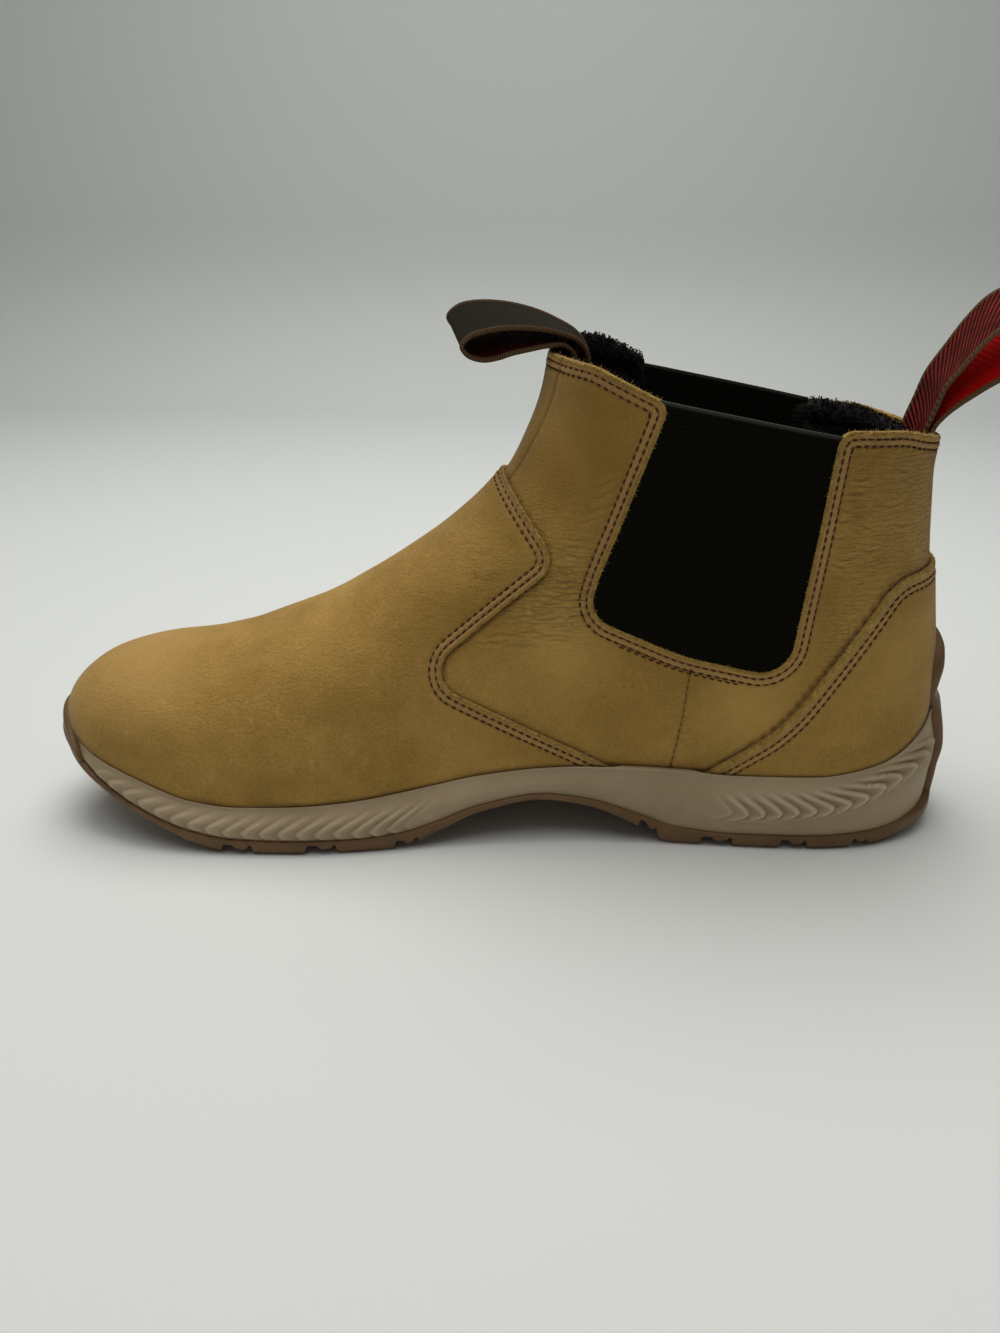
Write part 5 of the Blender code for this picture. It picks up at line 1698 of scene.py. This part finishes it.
def make_roll(name, U_from, U_to, lifts):
    """A padded roll; lifts are its heights over the leather at one end, the middle and the other end."""
    U, v = collar_line(U_from, U_to)
    lift = np.interp(np.linspace(-1.0, 1.0, ROLL_COLUMNS), (-1.0, 0.0, 1.0), lifts)
    profile = smooth_curve(ROLL_PROFILE + ROLL_PROFILE[:1], ROLL_POINTS + 1)[:-1]
    length = run_length(surface(U, v))
    end = np.minimum(length, length[-1] - length)
    full = np.sqrt(np.clip(1.0 - (1.0 - np.clip(end / ROLL_END, 0.0, 1.0)) ** 2, THINNEST_END, 1.0))
    chance = np.random.default_rng(LOOP_SEED)
    sections = []
    for f, rise in zip(full, lift):
        section = ROLL_MIDDLE + (profile - ROLL_MIDDLE) * [f, 0.5 + 0.5 * f]
        pile = np.clip((section[:, 1] - PILE_FROM) / PILE_RUN, 0.0, 1.0)
        pile = pile * chance.uniform(-PILE, PILE, ROLL_POINTS)
        sections.append(section + pile[:, None] * PILE_WAY + [0.0, rise])
    inwards, upwards = np.vstack(sections).T
    points = on_lining(np.repeat(U, ROLL_POINTS), np.repeat(v, ROLL_POINTS), inwards, upwards)
    faces = outward(points, capped_tubes(1, ROLL_COLUMNS, ROLL_POINTS))
    roll = make_piece(name, points, faces, TERRY)
    make_terry_loops(name + "_terry", points.reshape(ROLL_COLUMNS, ROLL_POINTS, 3), chance)
    return roll


opening_U, _ = ring_of(*np.transpose([OPENING_FRONT, OPENING_BACK]), 1)
front, back = opening_U
make_roll("collar_roll_back", FULL_TURN - back, FULL_TURN + back, lifts=(1.2, -1.6, -1.0))
make_roll("collar_roll_front_inner", FULL_TURN + front, FRONT_INNER - FRONT_CLEAR, lifts=(-1.5, -1.0, -1.0))
make_roll("collar_roll_front_outer", FRONT_OUTER + FRONT_CLEAR, FULL_TURN - front, lifts=(2.5, 4.4, 4.6))

# %% [markdown]
# ## The sole's wall
# Midsole and outsole share one wall that runs all round the foot. It is made of rings: each one takes
# the form's outline at its own height and stands out from it by a given reach.

# %% Sole wall
SOLE_COLUMNS = 1620
MIDSOLE_LIP = 3.0
MIDSOLE_BULGE = 0.8
BULGE_AT = 0.45
sole_U = 2.0 * np.arange(SOLE_COLUMNS) / SOLE_COLUMNS
sole_side = np.where(sole_U <= 1.0, 1.0, -1.0)
sole_x = surface(sole_U, np.zeros(SOLE_COLUMNS))[:, 0]
joint_z = sole_value("joint", sole_x, sole_side)
bite_z = sole_value("bite", sole_x, sole_side)
tread_z = sole_value("tread", sole_x, sole_side)
flare = sole_value("flare", sole_x, sole_side)
lip = np.minimum(MIDSOLE_LIP, flare)


def sole_wall(z, reach, U=None):
    """A ring of points that stands out from the form by reach at heights z."""
    columns = sole_U if U is None else U
    v = level_on_form(columns, lambda x: z)
    point = surface(columns, v)
    whole_ring = np.roll(point, -1, axis=0) - np.roll(point, 1, axis=0)
    run = whole_ring if U is None else np.gradient(point, axis=0)
    out = unit(np.stack([-run[:, 1], run[:, 0]], 1))
    return np.column_stack([point[:, :2] + out * np.asarray(reach)[:, None], z])


def midsole_reach(share, flare, lip):
    """How far the midsole stands out at a share of the way from the joint to the lip."""
    lower = flare + MIDSOLE_BULGE * np.sin(0.5 * np.pi * np.clip(share / BULGE_AT, 0.0, 1.0))
    fall = smooth_step(share, BULGE_AT, 1.0)
    return lower + (lip - flare - MIDSOLE_BULGE) * fall


# %% [markdown]
# ## Moulded ribs
# Ribs are moulded into the foam: they fan out along the forefoot and lie in a fishbone at the heel. Each
# rib is a soft step, steep on one side, bent so that its middle points to the toe or to the heel. The
# rows fade out at their ends.

# %% Moulded ribs
FOREFOOT_RIBS = 19
FOREFOOT_FROM, FOREFOOT_TO = 135.0, 26.0
HEEL_RIBS = 14
HEEL_FROM, HEEL_NEAREST = -74.0, 12.0
TOE_RISE, BALL_RISE, HEEL_RISE = 0.7, 1.0, 1.9
FOREFOOT_SPINE = np.array([
    # x, share of the wall's height
    (26.0, 0.18), (45.0, 0.21), (60.0, 0.26), (80.0, 0.29), (100.0, 0.30), (144.0, 0.31),
])
HEEL_SPINE = np.array([
    # x, share of the wall's height
    (-146.0, 0.73), (-129.0, 0.71), (-120.0, 0.60), (-105.0, 0.50), (-90.0, 0.43), (-70.0, 0.39),
])
HEEL_UPPER_BOW = np.array([
    # x, bow
    (-146.0, 0.85), (-115.0, 0.85), (-95.0, 0.60), (-70.0, 0.42),
])
FOREFOOT_BOWS, HEEL_LOWER_BOW = (0.7, 0.5), 1.1
UPPER_POWER, LOWER_POWER = 1.42, 1.5
STEEP_SHARE = 0.24
CREST_HIGHLIGHT_HALF = 0.14
FOREFOOT_HIGHLIGHT = 0.45
FOREFOOT_REACH, HEEL_REACH = (0.64, 0.27), (7.6, 4.0)
RUN_RING = 0.05
BALL_AT, TOE_AT = 60.0, 130.0
FIRST_RIB, LAST_RIBS = (-0.6, 0.8), 2.0
UPPER_FADE, LOWER_FADE, VALLEY_SHADE_POWER = 0.5, 0.3, 3

wall_height = bite_z - joint_z
around = run_length(surface(np.append(sole_U, 2.0), np.full(SOLE_COLUMNS + 1, RUN_RING)))
from_heel = np.minimum(around[:-1], around[-1] - around[:-1])
from_toe = np.abs(around[:-1] - around[SOLE_COLUMNS // 2])
inner_half = sole_U <= 1.0


def chevrons(share, spine, run, first, last, count, bows, reaches):
    """A row of bent ribs between two run lengths: height, painted crest light, painted valley shade, 0 to 1.
    """
    above, below = (np.maximum(way * (share - spine), 0.0) * wall_height for way in (1, -1))
    bow = bows[0] * above ** UPPER_POWER + bows[1] * below ** LOWER_POWER
    turns = (run - first - bow) / (last - first) * count
    place = turns - np.floor(turns)
    ends = smooth_step(turns, *FIRST_RIB) * (1.0 - smooth_step(turns, count - LAST_RIBS, count))
    upper_end = 1.0 - smooth_step(above, UPPER_FADE * reaches[0], reaches[0])
    lower_end = 1.0 - smooth_step(below, LOWER_FADE * reaches[1], reaches[1])
    shown = ends * upper_end * lower_end
    height = smooth_step(place, 0.0, STEEP_SHARE) * (1.0 - place) / (1.0 - STEEP_SHARE)
    crest_highlight = bell(place - STEEP_SHARE, CREST_HIGHLIGHT_HALF)
    return np.stack([height, crest_highlight, place ** VALLEY_SHADE_POWER]) * shown


def forefoot_ribs(share):
    x, run = sole_x[inner_half], from_toe[inner_half]
    first, last = np.interp([FOREFOOT_FROM, FOREFOOT_TO], x, run)
    ribs = chevrons(share, smooth_table(FOREFOOT_SPINE, sole_x), from_toe, first, last, FOREFOOT_RIBS,
                    FOREFOOT_BOWS, [part * wall_height for part in FOREFOOT_REACH])
    ribs[0] *= BALL_RISE + (TOE_RISE - BALL_RISE) * smooth_step(sole_x, BALL_AT, TOE_AT)
    ribs[1] *= FOREFOOT_HIGHLIGHT
    return ribs


def heel_ribs(share):
    last = np.interp(HEEL_FROM, sole_x[inner_half], from_heel[inner_half])
    bows = smooth_table(HEEL_UPPER_BOW, sole_x), HEEL_LOWER_BOW
    ribs = chevrons(share, smooth_table(HEEL_SPINE, sole_x), from_heel, HEEL_NEAREST, last, HEEL_RIBS,
                    bows, HEEL_REACH)
    ribs[0] *= HEEL_RISE
    return ribs


# %% [markdown]
# ## Midsole
# The midsole is a cup of moulded foam. Its wall bulges a little and closes on the leather in a thin lip.
# Between the tails of the vamp and the counter the quarter itself shows, one leather thickness further
# in, so the lip reaches in further there. Under the arch and in the rib valleys the foam is painted
# darker as painted shade, and the rib crests carry a painted highlight.

# %% Midsole piece
MIDSOLE_ROWS = 52
RIB_SUNK = 0.3
FOOT_UP, FOOT_IN = 0.5, 7.0
LIP_HEIGHT = 0.7
LIP_ROWS = [
    # down from the bite, out from the leather
    (0.15, 0.25), (1.6, 0.1), (4.0, -1.6),
]
QUARTER_SHOWS, QUARTER_HIDDEN = (-70.0, -64.0), (-42.0, -36.0)
LEDGE_IN, LEDGE_OVER = 0.7, 0.3
LEDGE_DOWN, LEDGE_ROUND = 0.25, 0.2
ARCH_SHADE, ARCH_MIDDLE, ARCH_HALF = 0.45, -28.0, 34.0


def foam_material():
    material, tree, shader = new_material("taupe_foam", roughness=0.55, specular=0.3)
    colour = cloudy(tree, (0.475, 0.362, 0.225), (0.39, 0.290, 0.172),
                    size=26.0, speck_size=0.7, specks=0.3)
    # Painted shade in the rib valleys and under the arch, painted highlight on the rib crests.
    colour = washed(tree, colour, "valley_shade", 0.5, (0.20, 0.136, 0.074))
    colour = washed(tree, colour, "crest_highlight", 0.7, (0.70, 0.560, 0.390))
    feed(tree, shader.inputs["Base Color"], colour)
    bump_into(tree, shader, grain(tree, size=0.8, nap=0.6), distance=0.00008)
    return material


def make_midsole():
    rows = [sole_wall(joint_z + FOOT_UP, flare - FOOT_IN)]
    crest_highlights, valley_shades = [np.zeros(SOLE_COLUMNS)], [np.zeros(SOLE_COLUMNS)]
    arch = ARCH_SHADE * bell(sole_x - ARCH_MIDDLE, ARCH_HALF)
    for share in np.linspace(0.0, 1.0, MIDSOLE_ROWS):
        z = joint_z + (bite_z - LIP_HEIGHT - joint_z) * share
        rise, crest_highlight, valley_shade = forefoot_ribs(share) + heel_ribs(share)
        rows.append(sole_wall(z, midsole_reach(share, flare, lip) + rise - RIB_SUNK))
        crest_highlights.append(crest_highlight)
        valley_shades.append(np.maximum(valley_shade, arch))
    bare = smooth_step(sole_x, *QUARTER_SHOWS) * (1.0 - smooth_step(sole_x, *QUARTER_HIDDEN))
    face = OVERLAY_FACE * (1.0 - bare)
    ledge = np.maximum(lip - LEDGE_IN, face + LEDGE_OVER)
    rows.append(sole_wall(bite_z - LEDGE_DOWN, np.maximum(lip - LEDGE_ROUND, ledge)))
    rows.append(sole_wall(bite_z, ledge))
    rows += [sole_wall(bite_z - down, face + out) for down, out in LIP_ROWS]
    plain = [np.zeros(SOLE_COLUMNS)] * (len(rows) - len(valley_shades))
    marks = {"crest_highlight": np.concatenate(crest_highlights + plain), "valley_shade": np.concatenate(valley_shades + plain)}
    faces = grid_faces(len(rows), SOLE_COLUMNS, closed=True)
    last = (len(rows) - 1) * SOLE_COLUMNS
    ring = [(i, (i + 1) % SOLE_COLUMNS) for i in range(SOLE_COLUMNS)]
    faces += [(last + i, last + k, k, i) for i, k in ring]
    return make_piece("moulded_midsole", np.vstack(rows), [f[::-1] for f in faces], FOAM,
                      ("midsole",), marks)


FOAM = foam_material()
make_midsole()

# %% [markdown]
# ## Grooves
# Grooves are cut across the tread, so that lugs stand between them at forefoot and heel. They bend a
# little forwards in the middle, and a low nub stands in each.

# %% Grooves of the tread
GROOVES = [
    # x, width
    (105.0, 6.0), (83.1, 10.6), (54.9, 10.7), (26.5, 8.0), (-55.5, 6.5), (-78.4, 10.9), (-103.9, 9.4),
    (-126.5, 6.0),
]
NUB_HEIGHT, NUB_SHIFT, NUB_HALF = 1.5, 0.12, 0.24
GROOVE_V = 7.0
GROOVE_DEPTH = 2.8
GROOVE_TURN = 90.0
GROOVE_WALL = (-0.5, 0.2)


def groove_depth(x, y):
    """How far the grooves cut into the tread at points of the plan."""
    depth = np.zeros_like(x)
    for place, width in GROOVES:
        middle = place + GROOVE_V * (1.0 - np.abs(y) / GROOVE_TURN)
        beyond = np.abs(x - middle) - width / 2
        nub = np.clip(1.0 - ((x - middle + NUB_SHIFT * width) / (NUB_HALF * width)) ** 2, 0.0, 1.0)
        cut = GROOVE_DEPTH * (1.0 - smooth_step(beyond, *GROOVE_WALL)) - NUB_HEIGHT * np.sqrt(nub)
        depth = np.maximum(depth, cut)
    return depth


# %% [markdown]
# ## Outsole
# The tread is a plate of gum rubber that follows the midsole's edge, thin under the arch and thicker
# where it turns up at toe and heel. Its rings are closed by a bed of points below and by its hidden top.

# %% Outsole plate
EDGE_WALL = 1.1
RAND_THICK, TAB_WALL = 1.7, 2.3
EDGE_HEIGHT, TOE_EDGE_HEIGHT = 3.0, 1.5
RAND_FROM, TAB_FROM, THICKENS_OVER = 136.0, -136.0, 8.0
LOW_EDGE_FROM, LOW_EDGE_TO = 92.0, 118.0
TOP_UP, TOP_IN = 0.1, 4.0
LEAST_LUG, LEAST_EDGE = 1.0, 0.6
TUCK_SHARES = (0.25, 0.5, 0.75, 1.0)
EDGE_PROFILE = [
    # up from the joint, back from the edge
    (0.15, 0.45), (-0.1, 0.1), (-0.5, 0.0),
]
TREAD_COLUMNS = 40


def edge_thickness(x):
    toe = smooth_step(x, RAND_FROM - THICKENS_OVER, RAND_FROM + THICKENS_OVER)
    heel = 1.0 - smooth_step(x, TAB_FROM - THICKENS_OVER, TAB_FROM + THICKENS_OVER)
    return EDGE_WALL + (RAND_THICK - EDGE_WALL) * toe + (TAB_WALL - EDGE_WALL) * heel


def make_outsole():
    reach = flare + edge_thickness(sole_x)
    tuck = sole_value("tuck", sole_x, sole_side)
    rim = sole_wall(joint_z, reach)
    low = tread_z + groove_depth(rim[:, 0], rim[:, 1])
    to_toe = smooth_step(sole_x, LOW_EDGE_FROM, LOW_EDGE_TO)
    edge_height = EDGE_HEIGHT + (TOE_EDGE_HEIGHT - EDGE_HEIGHT) * to_toe
    edge_z = np.minimum(np.maximum(low + LEAST_LUG, joint_z - edge_height), joint_z - LEAST_EDGE)
    tread = sole_wall(low, reach - tuck)
    tread[:, 2] = sole_value("tread", tread[:, 0], sole_side) + groove_depth(tread[:, 0], tread[:, 1])
    edge = sole_wall(edge_z, reach)
    rows = [sole_wall(joint_z + TOP_UP, flare - TOP_IN)]
    rows += [sole_wall(joint_z + up, reach - back) for up, back in EDGE_PROFILE]
    rows += [sole_wall((joint_z + EDGE_PROFILE[-1][0] + edge_z) / 2, reach), edge]
    rows += [edge * (1 - share) + tread * share for share in TUCK_SHARES]
    points = np.vstack(rows)
    faces = grid_faces(len(rows), SOLE_COLUMNS, closed=True)
    half = SOLE_COLUMNS // 2
    inner, outer = tread[:half + 1], np.vstack([tread[:1], tread[:half - 1:-1]])
    a = np.linspace(0.0, 1.0, TREAD_COLUMNS)[None, :, None]
    bed = inner[:, None] * (1 - a) + outer[:, None] * a
    share = np.linspace(0.0, 1.0, TREAD_COLUMNS)
    inner_z, outer_z = sole_value("tread", bed[..., 0], 1.0), sole_value("tread", bed[..., 0], -1.0)
    plain = inner_z * (1 - share) + outer_z * share
    bed[..., 2] = plain + groove_depth(bed[..., 0], bed[..., 1])
    faces += [f[::-1] for f in grid_faces(half + 1, TREAD_COLUMNS, first=len(points))]
    faces += [(i + 1, i, (SOLE_COLUMNS - i) % SOLE_COLUMNS, SOLE_COLUMNS - i - 1) for i in range(half)]
    points, faces, _ = welded(np.vstack([points, bed.reshape(-1, 3)]), faces)
    return make_piece("gum_outsole", points, outward(points, faces), GUM, ("outsole",))


GUM = cloudy_material("gum_rubber", 0.5, 0.35, (0.190, 0.101, 0.038), (0.130, 0.067, 0.024),
                      clouds=(18.0, 0.8, 0.35), grains=(0.9, 0.6, 0.0001))
make_outsole()

# %% [markdown]
# ## Toe rand
# At the toe the rubber climbs over the midsole onto the leather as a rand, which guards the toe. Its
# base follows the foam first and then runs over onto the leather; its top edge is rounded.

# %% Toe rand
RAND_COLUMNS = 160
RAND_ROWS = 40
RAND_REACH, RAND_RING = 0.14, 0.03
RAND_BELOW, RAND_LOWEST = 1.5, 0.8
RAND_END, RAND_ROUND, RAND_TOP_SHARE = 0.03, 0.1, 0.15
RAND_CLIMB, TAB_CLIMB, CLIMB_FROM = 5.0, 6.0, 2.0
SUNK_IN = 0.6
RAND_TOP = np.array([
    # x, z
    (140.0, 26.5), (142.5, 31.5), (145.0, 35.5), (148.0, 39.4), (152.0, 41.3),
])


def climbing_base(U, z, climb):
    """How far the ground of climbing rubber stands out: the foam first, and then the leather."""
    x = surface(U, np.zeros(len(U)))[:, 0]
    joint, bite, wide = (sole_value(name, x, 1.0) for name in ("joint", "bite", "flare"))
    share = np.clip((z - joint) / (bite - joint), 0.0, 1.0)
    onto = smooth_step(z, bite - CLIMB_FROM, bite + climb)
    return midsole_reach(share, wide, np.minimum(MIDSOLE_LIP, wide)) * (1 - onto) + OVERLAY_FACE * onto


def make_rand():
    U = np.linspace(1.0 - RAND_REACH, 1.0 + RAND_REACH, RAND_COLUMNS)
    x = surface(U, np.full(RAND_COLUMNS, RAND_RING))[:, 0]
    keep = x > RAND_TOP[0, 0]
    U, x = U[keep], x[keep]
    low = sole_value("joint", x, 1.0) - RAND_BELOW
    high = np.maximum(smooth_table(RAND_TOP, x), low + RAND_LOWEST)
    end = np.minimum(U - U[0], U[-1] - U) / (U[-1] - U[0])
    side = np.sqrt(np.clip(1 - (1 - np.clip(end / RAND_END, 0, 1)) ** 2, 0.0, 1.0))
    outer, inner = [], []
    for t in np.linspace(0.0, 1.0, RAND_ROWS):
        z = low + (high - low) * t
        base = climbing_base(U, z, RAND_CLIMB)
        over = max((t - 1.0 + RAND_ROUND) / RAND_ROUND, 0.0)
        round_over = math.sqrt(max(1 - over ** 2, 0.0)) * (1.0 - RAND_TOP_SHARE) + RAND_TOP_SHARE
        outer.append(sole_wall(z, base + RAND_THICK * side * round_over, U))
        inner.append(sole_wall(z, base - SUNK_IN, U))
    points, faces = slab(np.array(outer), np.array(inner))
    return make_piece("toe_rand", points, outward(points, faces), GUM)


make_rand()

# %% [markdown]
# ## Heel tab
# At the heel a tab with two lobes climbs the same way. Its half width and its thickness change with the
# height, which gives the lobes and the waist between them.

# %% Heel tab
TAB_ROWS = 90
TAB_COLUMNS = 60
TAB_FOOT, TAB_TOP = 8.0, 69.0
TAB_TRIES, TAB_REACH = 120, 0.22
TAB_EDGE = 0.86
TAB_HALF = np.array([
    # z, half width
    (4.0, 10.0), (30.0, 9.6), (40.0, 10.0), (45.0, 12.2), (49.0, 13.6), (56.0, 13.8), (61.0, 12.2),
    (65.0, 9.0), (67.8, 5.0), (69.0, 1.5),
])
TAB_THICK = np.array([
    # z, thickness
    (4.0, 2.3), (16.0, 2.3), (30.0, 2.4), (38.0, 2.8), (44.0, 2.5), (48.2, 1.6), (52.0, 2.2), (58.5, 3.2),
    (63.0, 3.0), (67.0, 1.7), (69.0, 0.4),
])


def make_tab():
    tries = np.linspace(0.0, TAB_REACH, TAB_TRIES)
    across = np.linspace(-1.0, 1.0, TAB_COLUMNS)
    over = np.clip((np.abs(across) - TAB_EDGE) / (1.0 - TAB_EDGE), 0.0, 1.0)
    edge = np.sqrt(np.clip(1.0 - over ** 2, 0.0, 1.0))
    outer, inner = [], []
    for z in np.linspace(TAB_FOOT, TAB_TOP, TAB_ROWS):
        wall = sole_wall(np.full(TAB_TRIES, z), np.zeros(TAB_TRIES), tries)
        half = smooth_table(TAB_HALF, z)
        U = np.sign(across) * np.interp(np.abs(across) * half, wall[:, 1], tries)
        base = climbing_base(U, z, TAB_CLIMB)
        level = np.full(TAB_COLUMNS, z)
        outer.append(sole_wall(level, base + smooth_table(TAB_THICK, z) * edge, U))
        inner.append(sole_wall(level, base - SUNK_IN, U))
    points, faces = slab(np.array(outer), np.array(inner))
    return make_piece("heel_tab", points, outward(points, faces), GUM)


make_tab()

# %% [markdown]
# ## Insole
# The footbed inside is covered with the same kind of black cloth as the lining. It is a slab on the
# last's underside, a little crowned in the middle.

# %% Insole
INSOLE_THICK = 3.0
INSOLE_GAP = 3.0
INSOLE_ROWS, INSOLE_COLUMNS = 160, 24
INSOLE_RING = 0.01
CROWN, CROWN_POWER = 1.2, 6


def make_insole():
    u = np.linspace(0.0, 1.0, INSOLE_ROWS)
    ring = [surface(U, np.full(INSOLE_ROWS, INSOLE_RING), -INSOLE_GAP) for U in (u, 2.0 - u)]
    a = np.linspace(0.0, 1.0, INSOLE_COLUMNS)[None, :, None]
    bottom = ring[0][:, None] * (1 - a) + ring[1][:, None] * a
    bottom[..., 2] = last_bottom(bottom[..., 0])
    top = bottom.copy()
    top[..., 2] += INSOLE_THICK - CROWN * (2 * a[..., 0] - 1.0) ** CROWN_POWER
    points, faces = slab(top, bottom)
    return make_piece("footbed", points, faces, KNIT, ("insole",))


make_insole()

# %% [markdown]
# ## Webbing
# The loops are woven. The front loop's outer face is charcoal with level threads; the rear loop's is a
# red and black twill, whose threads slant. Inside both are red, and their edges are bound with brown.

# %% Webbing materials


def webbing_material(name, light, dark, inside, slant, pitch, sharpness):
    material, tree, shader = new_material(name, roughness=0.8, specular=0.08)
    along, across = attribute(tree, "along"), attribute(tree, "across")

    def woven(slant, pitch, cross_pitch):
        return use_group(tree, WEAVE, {"Along": along, "Across": across, "Slant": slant, "Pitch": pitch,
                                       "Cross Pitch": cross_pitch})

    weave = woven(slant, pitch, cross_pitch=0.7)
    place = add(tree, "TexCoord").outputs["Object"]
    uneven = add(tree, "TexNoise", {"Vector": place, "Scale": 260.0, "Detail": 2.0}).outputs["Fac"]
    streak = sums(tree, "MULTIPLY", weave["Thread"], spread(tree, uneven, 0.3, 0.65, 0.65, 1.0))
    outer = mixed(tree, sums(tree, "POWER", streak, sharpness), dark, light)
    level = woven(slant=0.0, pitch=0.7, cross_pitch=0.7)
    inner = mixed(tree, level["Thread"], tuple(0.5 * c for c in inside[:3]) + (1,), inside)
    colour = mixed(tree, attribute(tree, "inner"), outer, inner)
    binding = woven(slant=0.6, pitch=0.8, cross_pitch=0.9)
    brown = mixed(tree, binding["Thread"], (0.070, 0.037, 0.017, 1), (0.19, 0.110, 0.054, 1))
    colour = mixed(tree, attribute(tree, "bound"), colour, brown)
    feed(tree, shader.inputs["Base Color"], colour)
    bump_into(tree, shader, weave["Height"], distance=0.00018)
    return material


# The front loop's inside red is darkened, as painted shade inside the loop.
CHARCOAL_WEBBING = webbing_material("charcoal_webbing", (0.036, 0.030, 0.0165, 1), (0.020, 0.0165, 0.0095, 1),
                                    (0.105, 0.002, 0.0015, 1), slant=0.0, pitch=0.55, sharpness=1.0)
TWILL_WEBBING = webbing_material("red_twill_webbing", (0.33, 0.024, 0.015, 1), (0.014, 0.0033, 0.0026, 1),
                                 (0.80, 0.008, 0.005, 1), slant=-0.62, pitch=2.0, sharpness=1.7)

# %% [markdown]
# ## Pull loops
# Each loop is one length of webbing with bound edges, sewn inside the collar, folded to a teardrop and
# turned a little towards the inner side. Its way is drawn in the side view; the section of the webbing,
# with a bead along each edge, is led along it.

# %% Pull loops
LOOP_WIDTH = 23.0
FRONT_TURN, REAR_TURN = math.radians(20.5), math.radians(25.0)
FRONT_DROP = 0.85
FRONT_LEAN, REAR_LEAN = 0.8, -0.3
LOOP_STEPS = 220
BEAD_FROM = 10.0
BEAD_RADIUS = 0.75
WEB_HALF = 0.38
FLAT_POINTS, BEAD_POINTS, BEAD_START = 8, 9, -0.5
BEAD_CLEAR, THINNEST_BEAD = 0.05, 0.02
FRONT_LOOP = [
    # x, z, turn
    (-18.6, 139.0, 0.0), (-21.4, 150.0, 0.0), (-21.2, 157.5, 0.0), (-17.4, 162.0, 0.25), (-11.6, 163.1, 0.55),
    (-6.0, 162.9, 0.75), (-0.4, 162.3, 0.9), (4.1, 161.3, 1.0), (9.0, 160.7, 1.0), (13.5, 162.2, 1.0),
    (15.1, 164.9, 1.0), (12.3, 167.8, 1.0), (8.8, 169.0, 1.0), (3.0, 169.7, 0.9), (-4.4, 169.3, 0.75),
    (-11.6, 167.8, 0.55), (-16.6, 165.9, 0.35), (-22.4, 162.5, 0.15), (-25.4, 157.0, 0.0),
    (-24.4, 150.0, 0.0), (-21.0, 139.0, 0.0),
]
REAR_LOOP = [
    # x, z, turn
    (-131.6, 116.0, 0.0), (-132.6, 128.0, 0.0), (-133.8, 135.9, 0.0), (-135.8, 142.7, 0.1),
    (-137.9, 150.0, 0.25), (-141.8, 156.8, 0.5), (-146.6, 164.6, 0.8), (-151.5, 170.0, 0.95),
    (-158.5, 173.0, 1.0), (-166.5, 171.6, 1.0), (-170.4, 166.8, 1.15), (-166.0, 162.2, 1.3),
    (-154.0, 156.8, 1.3), (-146.2, 151.2, 1.15), (-141.2, 146.3, 0.85), (-138.1, 141.5, 0.45),
    (-136.0, 136.0, 0.0), (-135.0, 128.0, 0.0), (-134.0, 116.0, 0.0),
]
COLLAR_RADIUS = 36.0


def loop_section():
    """Across places and half thicknesses of the webbing with its two bound edges."""
    flat = np.linspace(0.0, BEAD_FROM, FLAT_POINTS)
    turn = np.linspace(BEAD_START, 1.0, BEAD_POINTS) * np.pi / 2
    bead = LOOP_WIDTH / 2 - BEAD_RADIUS * (1 - np.sin(turn))
    across = np.concatenate([flat, bead[bead > BEAD_FROM + BEAD_CLEAR]])
    thick = np.sqrt(np.clip(BEAD_RADIUS ** 2 - (across - LOOP_WIDTH / 2 + BEAD_RADIUS) ** 2, 0.0, None))
    half = np.where(across <= BEAD_FROM, WEB_HALF, np.maximum(thick, THINNEST_BEAD))
    return np.concatenate([-across[:0:-1], across]), np.concatenate([half[:0:-1], half])


def make_loop(name, route, lean, most_turn, drop, node, material):
    line = smooth_curve(route, LOOP_STEPS)
    line[:, 1] -= drop * line[:, 2]
    run = unit(np.gradient(line[:, :2], axis=0))
    normal = np.stack([-run[:, 1], np.zeros(LOOP_STEPS), run[:, 0]], 1)
    turn = most_turn * line[:, 2]
    across = unit(np.stack([lean * np.sin(turn), -np.cos(turn), np.sin(turn)], 1))
    middle = np.stack([line[:, 0], np.zeros(LOOP_STEPS), line[:, 1]], 1)
    place, half = loop_section()
    ring = np.concatenate([place, place[::-1]])
    lift = np.concatenate([half, -half[::-1]])
    points = middle[:, None] + across[:, None] * ring[None, :, None] + normal[:, None] * lift[None, :, None]
    curl = (1.0 - line[:, 2])[:, None] * ring[None, :] ** 2 / (2 * COLLAR_RADIUS)
    points[..., 0] += math.copysign(1.0, -lean) * curl
    marks = {"along": np.repeat(run_length(middle), len(ring)), "across": np.tile(ring, LOOP_STEPS),
             "inner": np.tile(lift > 0, LOOP_STEPS), "bound": np.tile(np.abs(ring) > BEAD_FROM, LOOP_STEPS)}
    faces = capped_tubes(1, LOOP_STEPS, len(ring))
    return make_piece(name, points.reshape(-1, 3), faces, material, (node,), marks)


make_loop("front_pull_loop", FRONT_LOOP, FRONT_LEAN, FRONT_TURN, FRONT_DROP, "pull_loop_front",
          CHARCOAL_WEBBING)
make_loop("rear_pull_loop", REAR_LOOP, REAR_LEAN, REAR_TURN, 0.0, "pull_loop_rear", TWILL_WEBBING)
